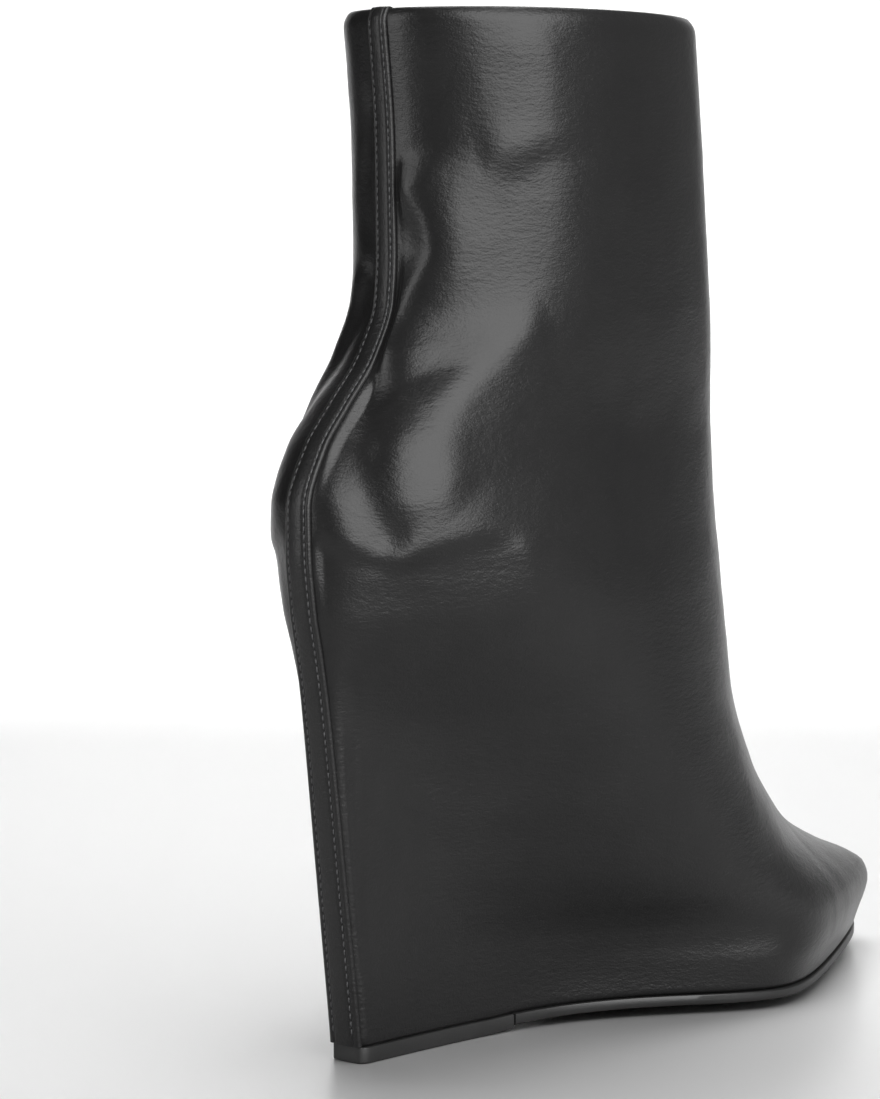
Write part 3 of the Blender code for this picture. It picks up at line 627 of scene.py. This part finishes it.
sole_rubber = moulded("sole_rubber", (0.008, 0.008, 0.008), (0.014, 0.014, 0.014), 0.34)
heel_rubber = moulded("heel_rubber", (0.008, 0.008, 0.008), (0.013, 0.013, 0.013), 0.42)
core_plastic = moulded("core_plastic", (0.030, 0.030, 0.030), (0.050, 0.050, 0.050), 0.55)
thread = moulded("black_thread", (0.020, 0.020, 0.021), (0.050, 0.050, 0.052), 0.40, 0.0002, 0.00005)


# %% Zip tape
def woven(name):
    """Ribs that lean one way, as in zip tape."""
    look, shader, place = new_finish(name, Specular_IOR_Level=0.3, Sheen_Weight=0.15)
    ribs = place.node("TexWave", {"wave_type": "BANDS", "bands_direction": "DIAGONAL"},
                      {"Vector": place, "Scale": 1 / 0.0045, "Distortion": 0.4, "Detail": 1.0})
    fuzz = cloudy(place, 0.0003, 3.0)
    feed(shader, "Base Color", tinted(ribs * 0.6 + fuzz * 0.4, (0.006, 0.006, 0.006), (0.020, 0.020, 0.021)))
    feed(shader, "Roughness", 0.78 + fuzz * 0.15)
    feed(shader, "Normal", bumped(ribs * 0.7 + fuzz * 0.3, 0.00012))
    return look


tape_cloth = woven("zip_tape_cloth")


# %% Plated metal
def plated(name, dark, light, gloss):
    look, shader, place = new_finish(name, Metallic=1.0)
    brushed = cloudy(stretched(place, 1.0, 1.0, 6.0), 0.0005, 3.0)
    worn = cloudy(place, 0.003, 3.0) ** 2.0
    feed(shader, "Base Color", tinted(brushed * 0.4 + worn, dark, light))
    feed(shader, "Roughness", gloss + brushed * 0.14)
    feed(shader, "Normal", bumped(brushed, 0.00001))
    return look


dark_metal = plated("dark_plated_metal", (0.10, 0.10, 0.105), (0.42, 0.42, 0.43), 0.20)
coil_nylon = moulded("coil_nylon", (0.010, 0.010, 0.010), (0.020, 0.020, 0.020), 0.30)


# %% [markdown]
# ## A helper for pieces
# Every piece is a closed mesh in the frame's metres. It rides on the boot's body, may stand for a CAD node,
# and is named after what it is. Only the pull rides on another body, and it is a CAD node that stays.

# %% Make a piece
def wrap_faces(rows, columns, close_rows=False):
    """Quads of a grid of points whose rows are rings; close_rows joins the last row to the first."""
    quads = []
    for r in range(rows if close_rows else rows - 1):
        first, second = r * columns, (r + 1) % rows * columns
        quads += [(first + c, first + (c + 1) % columns, second + (c + 1) % columns, second + c)
                  for c in range(columns)]
    return quads


def ladder_lid(first, count):
    """Closes a ring whose second half runs back beside its first half."""
    return [(first + k, first + k + 1, first + count - k - 2, first + count - k - 1)
            for k in range(count // 2 - 1)]


def add_piece(name, points, faces, look, stands_for=(), crease=35):
    mesh = bpy.data.meshes.new(name)
    mesh.from_pydata(np.reshape(points, (-1, 3)).tolist(), [], faces)
    mesh.materials.append(look)
    work = bmesh.new()
    work.from_mesh(mesh)
    bmesh.ops.recalc_face_normals(work, faces=work.faces)
    work.to_mesh(mesh)
    work.free()
    mesh.shade_smooth()
    if crease:
        mesh.set_sharp_from_angle(angle=math.radians(crease))
    piece = bpy.data.objects.new(name, mesh)
    bpy.context.scene.collection.objects.link(piece)
    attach(piece, "boot")
    if stands_for:
        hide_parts(*stands_for)
    print(name, len(mesh.polygons), "faces")
    return piece


# %% [markdown]
# ## The upper
# One hollow wall: the outer face with its folds, the rolled collar, the lining inside, and the lower edge.
# The mesh's columns run down the boot. They are crowded at the narrow back and toe, and a bunch of them
# follows the zip, so its edges stay crisp.

# %% Columns and rows
ZIP_COLUMNS = [-9, -8, -7.2, -6.5, -5.9, -5.4, -4.9, -4.45, -4.1, -3.9, -3.75, -3.6, -3.45, -2.6, -1.3, 0,
               1.3, 2.6, 3.45, 3.6, 3.75, 3.9, 4.1, 4.45, 4.9, 5.4, 5.9, 6.5, 7.2, 8, 9]
back_run = np.linspace(0, 1, 75, endpoint=False) ** 1.5
front_run = 1 - (1 - np.linspace(0, 1, 90)[1:]) ** 1.6
outer_turn = np.linspace(0, 1, 166)[1:-1]
outer_run = 0.75 * (1 - np.cos(math.pi * outer_turn)) / 2 + 0.25 * outer_turn

TUCK = 0.75
LOW_SHARES = [0.0, 0.015, 0.04, 0.08, 0.14, 0.23, 0.34, 0.47, 0.61, 0.76, 0.90]
first_height = 0.130 * HEEL_HEIGHT
heights = [first_height]
while heights[-1] < BOOT_HEIGHT - 0.1 * MM:
    fine = ZIP_BOTTOM - 1 * MM < heights[-1] < ZIP_BOTTOM + 5 * MM or heights[-1] > BOOT_HEIGHT - 4.5 * MM
    heights.append(min(BOOT_HEIGHT, heights[-1] + (0.5 if fine else 1.4) * MM))
print(len(heights) + len(LOW_SHARES), "rows")


def columns_at(height):
    """Signed lengths from the back of every column, and their distances from the zip's line and the front."""
    inner, outer = lengths_round(height, INNER)[-1], lengths_round(height, OUTER)[-1]
    middle = zip_length(height)
    offsets = np.array(ZIP_COLUMNS) * MM
    before = (middle + offsets[0]) * back_run
    after = middle + offsets[-1] + (inner - middle - offsets[-1]) * front_run
    lengths = np.concatenate([before, middle + offsets, after, -outer * outer_run[::-1]])
    return lengths, lengths - middle, np.where(lengths > 0, inner - lengths, outer + lengths)


# %% Outer face
def low_rows(turn, depth):
    """Rows from the lower edge, which follows the sole, up to the first full row."""
    rows = []
    for share in LOW_SHARES:
        height = np.full(turn.shape, first_height)
        for _ in range(4):
            edge = edge_height(skin(turn, height)[..., 0] + GROUND_BACK)
            height = edge + (first_height - edge) * share
        point = skin(turn, height) - outward(turn, height) * depth
        tuck = TUCK * MM * max(0.0, 1 - share / 0.14) ** 2
        point -= outward(turn, height) * (tuck if depth == 0 else 0)
        point[..., 2] = height if share else edge_height(point[..., 0] + GROUND_BACK)
        rows.append(point)
    return rows


layout = [columns_at(height) for height in heights]
lengths = np.array([row[0] for row in layout])
offsets = np.array([row[1] for row in layout])
fronts = np.array([row[2] for row in layout])
turns = np.array([turn_for(height, row[0]) for height, row in zip(heights, layout)])
levels = np.repeat(np.array(heights)[:, None], turns.shape[1], axis=1)
normals = outward(turns, levels)
moved = folded(lengths, levels, fronts)
outside = skin(turns, levels) + normals * (moved + edges(levels, offsets))[..., None]
outside[..., 2] = np.minimum(outside[..., 2], BOOT_HEIGHT)
outer_rows = low_rows(turns[0], 0.0) + list(outside)

# %% Collar rim and lining
inner_pick = [k for k in range(len(heights)) if k % 5 == 0 or k == len(heights) - 1]
seat = zip_mask(offsets, levels, ZIP_HALF + 2.6 * MM, 2.4 * MM)
lining_depth = WALL + 0.6 * MM * seat - moved * step(0.118, 0.130, levels)
inside_face = skin(turns, levels) - normals * lining_depth[..., None]
inside_face[-1, :, 2] = BOOT_HEIGHT - 0.7 * MM
rim = []
for share in (0.35, 0.65):
    ring = outside[-1] * (1 - share) + inside_face[-1] * share
    ring[:, 2] = BOOT_HEIGHT
    rim.append(ring)
inner_rows = low_rows(turns[0], WALL)[::3] + [inside_face[k] for k in inner_pick]
rings = outer_rows + rim + inner_rows[::-1]
upper_points = np.array(rings)
print("upper grid", upper_points.shape)

# %% Build the upper
count = upper_points.shape[1]
upper = add_piece("upper_leather", upper_points, wrap_faces(len(rings), count, close_rows=True), leather,
                  stands_for=["upper"], crease=0)
upper.data.materials.append(lining_leather)
lining_start = (len(outer_rows) + len(rim)) * count
for face in upper.data.polygons:
    if min(face.vertices) >= lining_start:
        face.material_index = 1

# %% [markdown]
# ## The back strip
# A narrow folded strip covers the seam up the middle of the back and turns in over the collar. Its edges are
# turned under, so they are round and a little raised, and a row of stitches sinks in beside each edge.

# %% Strip
STRIP_THICKNESS, STRIP_INSIDE, STRIP_LIFT = 0.0009, 0.011, 0.00004
STRIP_FACE = GAP + STRIP_THICKNESS
ACROSS = [-1.0, -0.985, -0.93, -0.85, -0.76, -0.68, -0.62, -0.56, -0.48, -0.36, -0.18, 0, 0.18, 0.36, 0.48,
          0.56, 0.62, 0.68, 0.76, 0.85, 0.93, 0.985, 1.0]
STITCH_LINE = 0.62


def strip_height(share):
    """How thick the strip is across its width, as a share of its thickness."""
    share = abs(share)
    edge = math.sqrt(max(0.0, 1 - max(0.0, (share - 0.86) / 0.14) ** 2.0))
    groove = 0.30 * math.exp(-((share - STITCH_LINE) / 0.075) ** 2)
    return 0.15 + 0.75 * edge - groove + 0.10 * math.cos(share * 3.0)


def strip_row(height, face, back, outside, rise=None):
    """A ring round the strip. Face and back are depths in the wall, and outside is 1 on its outer face."""
    shares, half = np.array(ACROSS), strip_half(height)
    thick = np.array([strip_height(share) for share in shares])
    middle = strip_middle(height)
    rolled = float(collar_roll(height)) * outside
    face, back = face + rolled, back + rolled
    faces = under_skin(height, middle + shares * half, back + (face - back) * thick)
    backs = under_skin(height, middle + shares[::-1] * half, np.full(len(shares), back))
    if rise is not None:
        faces[:, 2] = BOOT_HEIGHT + rise * (0.1 * MM + 0.45 * STRIP_THICKNESS * thick)
        backs[:, 2] = BOOT_HEIGHT + rise * 0.08 * MM
    return np.concatenate([faces, backs])


# %% Up the back, over the collar and down inside
low = float(edge_height(np.array(0.0)))
climb = [*np.linspace(low, 0.110, 60), *np.linspace(0.110, BOOT_HEIGHT - 0.5 * MM, 110)[1:]]
strip_rows = [strip_row(float(height), -STRIP_FACE, -STRIP_LIFT, 1) for height in climb]
for angle in range(15, 180, 15):
    swing, lift = math.cos(math.radians(angle)), math.sin(math.radians(angle)) ** 0.7
    face = WALL / 2 - (WALL / 2 + STRIP_FACE) * swing
    back = WALL / 2 - (WALL / 2 + STRIP_LIFT) * swing
    strip_rows.append(strip_row(BOOT_HEIGHT, face, back, (1 + swing) / 2, lift))
for drop in np.linspace(0.05, 1.0, 12):
    height = BOOT_HEIGHT - STRIP_INSIDE * float(drop)
    strip_rows.append(strip_row(height, WALL + STRIP_FACE, WALL + STRIP_LIFT, 0))
ring = len(ACROSS) * 2
strip_faces = wrap_faces(len(strip_rows), ring)
strip_faces += ladder_lid(0, ring) + ladder_lid((len(strip_rows) - 1) * ring, ring)
back_strip = add_piece("back_strip_leather", strip_rows, strip_faces, strip_leather,
                       stands_for=["back_strip"], crease=50)


# %% [markdown]
# ## Stitches
# Each stitch is a short, slightly sagging capsule of thread, with its ends sunk in the leather. The same
# helper sews the strip and the zip.

# %% Sew a row
def stitch(start, end, normal, thickness):
    """A capsule from start to end that stands a little proud of the leather."""
    rings = []
    run = end - start
    across = np.cross(normal, run)
    across /= np.linalg.norm(across)
    for share, size, lift in ((0, 0.35, -0.7), (0.12, 0.85, -0.1), (0.35, 1.0, 0.25), (0.65, 1.0, 0.25),
                              (0.88, 0.85, -0.1), (1, 0.35, -0.7)):
        centre = start + run * share + normal * thickness * lift
        rings.append([centre + (across * math.cos(a) + normal * math.sin(a)) * thickness * size
                      for a in np.linspace(0, 2 * math.pi, 6, endpoint=False)])
    return rings


def lay_stitch(points, faces, start, end, normal, thickness):
    """Adds one capsule to the points and faces of a piece."""
    base = len(points)
    for ring in stitch(start, end, normal, thickness):
        points.extend(ring)
    faces += [tuple(base + v for v in quad) for quad in wrap_faces(6, 6)]
    faces += [tuple(base + k for k in range(6)), tuple(base + 30 + k for k in range(6))]


def sew(name, line, normals, pitch, length, thickness):
    """Stitches along a line of points, all one piece."""
    travelled = np.concatenate(([0], np.cumsum(np.linalg.norm(np.diff(line, axis=0), axis=1))))
    points, faces = [], []
    for start in np.arange(0.5 * pitch, travelled[-1] - pitch, pitch):
        ends = [np.array([np.interp(at, travelled, line[:, k]) for k in range(3)])
                for at in (start, start + length)]
        normal = np.array([np.interp(start + length / 2, travelled, normals[:, k]) for k in range(3)])
        lay_stitch(points, faces, *ends, normal / np.linalg.norm(normal), thickness)
    return add_piece(name, points, faces, thread, crease=0)


# %% Strip stitches
for side, name in ((OUTER, "strip_stitches_outer"), (INNER, "strip_stitches_inner")):
    line, normals = [], []
    for height in np.arange(low + 2 * MM, BOOT_HEIGHT - 1.5 * MM, 0.8 * MM):
        depth = -GAP - STRIP_THICKNESS * strip_height(STITCH_LINE) + float(collar_roll(height))
        across = strip_middle(height) + side * STITCH_LINE * strip_half(height)
        place, farther = under_skin(height, [across, across], [depth, depth - 1 * MM])
        line.append(place)
        normals.append(farther - place)
    sew(name, np.array(line), unit(np.array(normals)), 2.1 * MM, 1.65 * MM, 0.25 * MM)

# %% [markdown]
# ## Sole and top piece
# The sole is thin: a black edge under the leather that runs flat under the ball and springs up to the toe.
# The heel's top piece is a small block on the narrow end of the wedge.


# %% Sole sections
def rim_point(x, side, lip):
    height = edge_height(np.array(x))
    front = section(height)["front"]
    point = surface(np.minimum(x, front), np.array(side), height)
    return np.array([x - GROUND_BACK, float(point[1]) + side * lip, 0.0])


def sole_ring(x, lip, profile):
    outer, inner = rim_point(x, OUTER, lip), rim_point(x, INNER, lip)
    centre, half = (inner[1] + outer[1]) / 2, (inner[1] - outer[1]) / 2
    right = [(outer[0], centre + half * share, z) for share, z in profile]
    left = [(outer[0], centre - half * share, z) for share, z in profile]
    return right + left[::-1]


def loft(rings):
    size = len(rings[0])
    return wrap_faces(len(rings), size) + ladder_lid(0, size) + ladder_lid((len(rings) - 1) * size, size)


# %% Outsole
toe_end = TOE_REACH
for _ in range(6):
    toe_end = float(section(edge_height(np.array(toe_end)))["front"])
sole_start = TOP_PIECE_LENGTH + GAP
sole_rings = []
for k in range(161):
    x = sole_start + (toe_end - sole_start) * math.sin(math.pi / 2 * k / 160)
    edge, keel = float(sole_line(1, np.array(x))), float(sole_line(2, np.array(x)))
    top, drop = edge + SOLE_EDGE, edge - keel
    profile = [(0.97, top), (0.992, top - 0.08 * MM), (1.0, top - 0.35 * MM),
               (1.0, edge + 0.5 * SOLE_EDGE), (0.996, edge + 0.22 * SOLE_EDGE),
               (0.985, edge + 0.05 * SOLE_EDGE), (0.965, edge - 0.02 * drop), (0.86, keel + 0.62 * drop),
               (0.74, keel + 0.38 * drop), (0.62, keel + 0.20 * drop), (0.34, keel)]
    sole_rings.append(sole_ring(x + (SOLE_LIP if k == 160 else 0.0), SOLE_LIP, profile))
add_piece("outsole_rubber", sole_rings, loft(sole_rings), sole_rubber,
          stands_for=["outsole"])

# %% Top piece
heel_back = float(section(edge_height(np.array(0.0)))["back"])
places = [heel_back + FIN_CORNER * share for share in (0.01, 0.08, 0.2, 0.4, 0.65, 1.0)]
places += list(np.linspace(places[-1], TOP_PIECE_LENGTH, 40)[1:])
heel_rings = []
for x in places:
    top, ground = float(sole_line(1, np.array(x))) + SOLE_EDGE, float(sole_line(2, np.array(x)))
    profile = [(0.96, top), (0.992, top - 0.1 * MM), (1.0, top - 0.35 * MM), (1.0, ground + 0.55 * MM),
               (0.985, ground + 0.18 * MM), (0.95, ground), (0.5, ground)]
    heel_rings.append(sole_ring(x, 0.0, profile))
add_piece("top_piece_rubber", heel_rings, loft(heel_rings), heel_rubber,
          stands_for=["top_piece"])

# %% [markdown]
# ## The zip
# The tape lies a little under the leather's face. Two rows of nylon coil meet in its middle, and a row of
# stitches runs down each side of the opening.


# %% Tape
def beside_zip(height, offsets_mm, depth):
    middle = zip_length(height)
    return under_skin(height, middle + np.array(offsets_mm) * MM, np.full(len(offsets_mm), depth))


tape_across = [-7.2, -5, -3.6, -2.4, -1.4, -0.9, 0, 0.9, 1.4, 2.4, 3.6, 5, 7.2]
tape_rows = []
for height in np.linspace(ZIP_BOTTOM - 3.4 * MM, BOOT_HEIGHT - 0.3 * MM, 150):
    top = beside_zip(float(height), tape_across, TAPE_RECESS)
    under = beside_zip(float(height), tape_across[::-1], TAPE_RECESS + TAPE_THICKNESS)
    tape_rows.append(np.concatenate([top, under]))
add_piece("zip_tape_woven", tape_rows, loft(tape_rows), tape_cloth,
          stands_for=["zip_tape"])

# %% Coil
COIL_PITCH, COIL_THICKNESS = 0.62, 0.26
coil_points, coil_faces = [], []
turns_of_coil = np.arange(ZIP_BOTTOM + 1.2 * MM, BOOT_HEIGHT - 16 * MM, COIL_PITCH * MM)
for number, height in enumerate(turns_of_coil):
    side = 1 if number % 2 else -1
    a, b = beside_zip(float(height), [-0.25 * side, 1.15 * side], TAPE_RECESS - 0.12 * MM)
    c, _ = beside_zip(float(height) + 0.1 * MM, [-0.25 * side, 1.15 * side], TAPE_RECESS - 1.12 * MM)
    lay_stitch(coil_points, coil_faces, a, b, unit(c - a), COIL_THICKNESS * MM)
add_piece("zip_coil", coil_points, coil_faces, coil_nylon, crease=0)

# %% Zip stitches
for side, name in ((-1, "zip_stitches_back"), (1, "zip_stitches_front")):
    line, normals = [], []
    for height in np.arange(ZIP_BOTTOM + 1 * MM, BOOT_HEIGHT - 2.5 * MM, 0.8 * MM):
        place = beside_zip(float(height), [side * 6.6], -0.10 * MM)[0]
        line.append(place)
        normals.append(beside_zip(float(height), [side * 6.6], -1.10 * MM)[0] - place)
    sew(name, np.array(line), unit(np.array(normals)), 2.1 * MM, 1.7 * MM, 0.19 * MM)

# %% [markdown]
# ## Finishes for the solids that stay
# The insole, the hidden core, the slider and its pull keep their CAD shapes, which are right as they are.
# They only get a proper finish, in place of the plain one they came with.

# %% CAD nodes
for node, look in (("insole", insole_leather), ("wedge_core", core_plastic), ("zip_slider", dark_metal),
                   ("zip_pull", dark_metal)):
    for material_slot in frame["nodes"][node].material_slots:
        material_slot.material = look
    print(node, "keeps its solid and gets", look.name)

# %% [markdown]
# ## Studio
# A pale floor sweeps up into a white backdrop behind the boot. Black leather shows nothing but what it
# reflects, so the room is bright behind the boot, grey to its right and dark round the camera, with one big
# soft light beside the camera for the patches on the heel and shaft.


# %% Floor and backdrop
def studio_white(name, tone, gloss):
    look, shader, place = new_finish(name, Specular_IOR_Level=0.4)
    haze = cloudy(place, 0.5, 1.0)
    feed(shader, "Base Color", tinted(haze, (tone, tone, tone), (tone + 0.01, tone + 0.01, tone + 0.01)))
    feed(shader, "Roughness", gloss + haze * 0.04)
    return look


HEADING = math.radians(43)
ahead = Vector((math.cos(HEADING), math.sin(HEADING), 0))
right = Vector((math.sin(HEADING), -math.cos(HEADING), 0))
BEND_START, BEND_SIZE = 1.3, 0.9
FLOOR_HALF, BACKDROP_HALF = 3.0, 0.9
profile = [(d, 0.0) for d in (-2.5, -1.0, -0.3, 0.3, 0.8, BEND_START)]
profile += [(BEND_START + BEND_SIZE * math.sin(a), BEND_SIZE * (1 - math.cos(a)))
            for a in np.linspace(0.12, math.pi / 2, 14)]
profile += [(BEND_START + BEND_SIZE, z) for z in (1.3, 2.0, 3.0)]
floor_points = [tuple(ahead * d + right * w * (BACKDROP_HALF if z else FLOOR_HALF)
                      + Vector((0, 0, z - 0.0001)))
                for d, z in profile for w in np.linspace(-1, 1, 9)]
floor_faces = [(r * 9 + c, r * 9 + c + 1, r * 9 + c + 10, r * 9 + c + 9)
               for r in range(len(profile) - 1) for c in range(8)]
floor_mesh = bpy.data.meshes.new("floor")
floor_mesh.from_pydata(floor_points, [], floor_faces)
floor_mesh.shade_smooth()
floor = bpy.data.objects.new("floor", floor_mesh)
bpy.context.scene.collection.objects.link(floor)
floor_mesh.materials.append(studio_white("studio_floor", 0.86, 0.30))
floor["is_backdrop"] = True
print("floor and backdrop", len(floor_faces), "faces")


# %% [markdown]
# ### Lights
# A light's place is easiest to give as a turn from the view ahead, counted to the right, and a rise. The
# two lights that draw the leather's patches reach the boot alone, so they can't grey the floor, and one
# lights the floor alone. The room itself gets brighter towards the right.

# %% Lights
def softbox(name, place, target, width, height, power):
    light = bpy.data.lights.new(name, "AREA")
    light.shape, light.size, light.size_y, light.energy = "RECTANGLE", width, height, power
    lamp = bpy.data.objects.new(name, light)
    lamp.location = place
    lamp.rotation_euler = (Vector(target) - Vector(place)).to_track_quat("-Z", "Y").to_euler()
    lamp.visible_camera = False
    bpy.context.scene.collection.objects.link(lamp)
    return lamp


def toward(turn_degrees, rise, distance):
    """A place at a turn and a rise in degrees, and a distance in metres."""
    turn, up = math.radians(turn_degrees), math.radians(rise)
    flat = ahead * math.cos(turn) + right * math.sin(turn)
    return flat * distance * math.cos(up) + Vector((0, 0, distance * math.sin(up) + 0.12))


world = bpy.data.worlds.new("room")
world.use_nodes = True
room = Wire(world.node_tree)
direction = room.node("TexCoord", output=0)
to_right = direction.node("VectorMath", {"operation": "DOT_PRODUCT"}, {0: direction, 1: tuple(right)},
                          output=1)
brightness = to_right.node("ValToRGB", {"stops": [(0.0, 0.02), (0.40, 0.03), (0.75, 0.15), (1.0, 0.30)]},
                           {"Fac": to_right * 0.5 + 0.5})
world.node_tree.links.new(brightness.socket, world.node_tree.nodes["Background"].inputs["Color"])
world.node_tree.nodes["Background"].inputs["Strength"].default_value = 1.0
bpy.context.scene.world = world

# %% Lights for the boot and for the floor
boot_lights = [softbox("beside_camera", toward(153, 27, 1.3), (0.02, 0, 0.2), 1.65, 1.8, 50),
               softbox("left_strip", toward(254, 12, 1.2), (0.0, 0, 0.2), 0.44, 1.2, 6.0)]
boot_only = bpy.data.collections.new("lit_by_boot_lights")
for thing in bpy.data.objects:
    if thing.type == "MESH" and thing != floor:
        boot_only.objects.link(thing)
for lamp in boot_lights:
    lamp.light_linking.receiver_collection = boot_only
floor_only = bpy.data.collections.new("lit_by_floor_light")
floor_only.objects.link(floor)
wash = softbox("floor_wash", toward(150, 62, 2.0), (0.05, -0.05, 0), 1.8, 1.8, 12)
wash.light_linking.receiver_collection = floor_only
softbox("top", toward(10, 72, 1.9), (0.12, 0.1, 0.0), 1.3, 1.3, 28)
softbox("behind", toward(0, 40, 1.2), tuple(ahead * 1.9 + Vector((0, 0, 0.5))), 1.6, 0.8, 17)

# %% [markdown]
# ## Camera
# The photograph was taken from behind on the outer side, from a little under the collar's height, with a
# long lens. The heading is the angle between the view and the boot's length.

# %% Camera
PITCH = math.radians(4.955)
FOCAL_PIXELS, PICTURE_HEIGHT = 3570, 1099
SENSOR_WIDTH = 36
CAMERA_HEIGHT, CAMERA_RIGHT, CAMERA_BACK = 0.2088, 0.02384, 0.8964
camera_data = bpy.data.cameras.new("camera")
camera_data.sensor_width = SENSOR_WIDTH
camera_data.lens = FOCAL_PIXELS / PICTURE_HEIGHT * SENSOR_WIDTH
camera = bpy.data.objects.new("camera", camera_data)
camera.location = Vector((-GROUND_BACK, 0, CAMERA_HEIGHT)) + right * CAMERA_RIGHT - ahead * CAMERA_BACK
look_along = ahead * math.cos(PITCH) - Vector((0, 0, math.sin(PITCH)))
camera.rotation_euler = look_along.to_track_quat("-Z", "Y").to_euler()
bpy.context.scene.collection.objects.link(camera)
bpy.context.scene.camera = camera
bpy.context.scene.view_settings.view_transform = "Standard"
print("camera at", [round(c, 4) for c in camera.location])

# %% [markdown]
# ## Last measures
# The imported model's box and the dressed boot's box are kept and printed side by side.

# %% Sizes and finish
size = {"cad": [list(corner) for corner in cad_box], "scene": [list(corner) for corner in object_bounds()]}
print("sizes in mm", [[round((b - a) / MM, 1) for a, b in zip(*size[key])] for key in ("cad", "scene")])
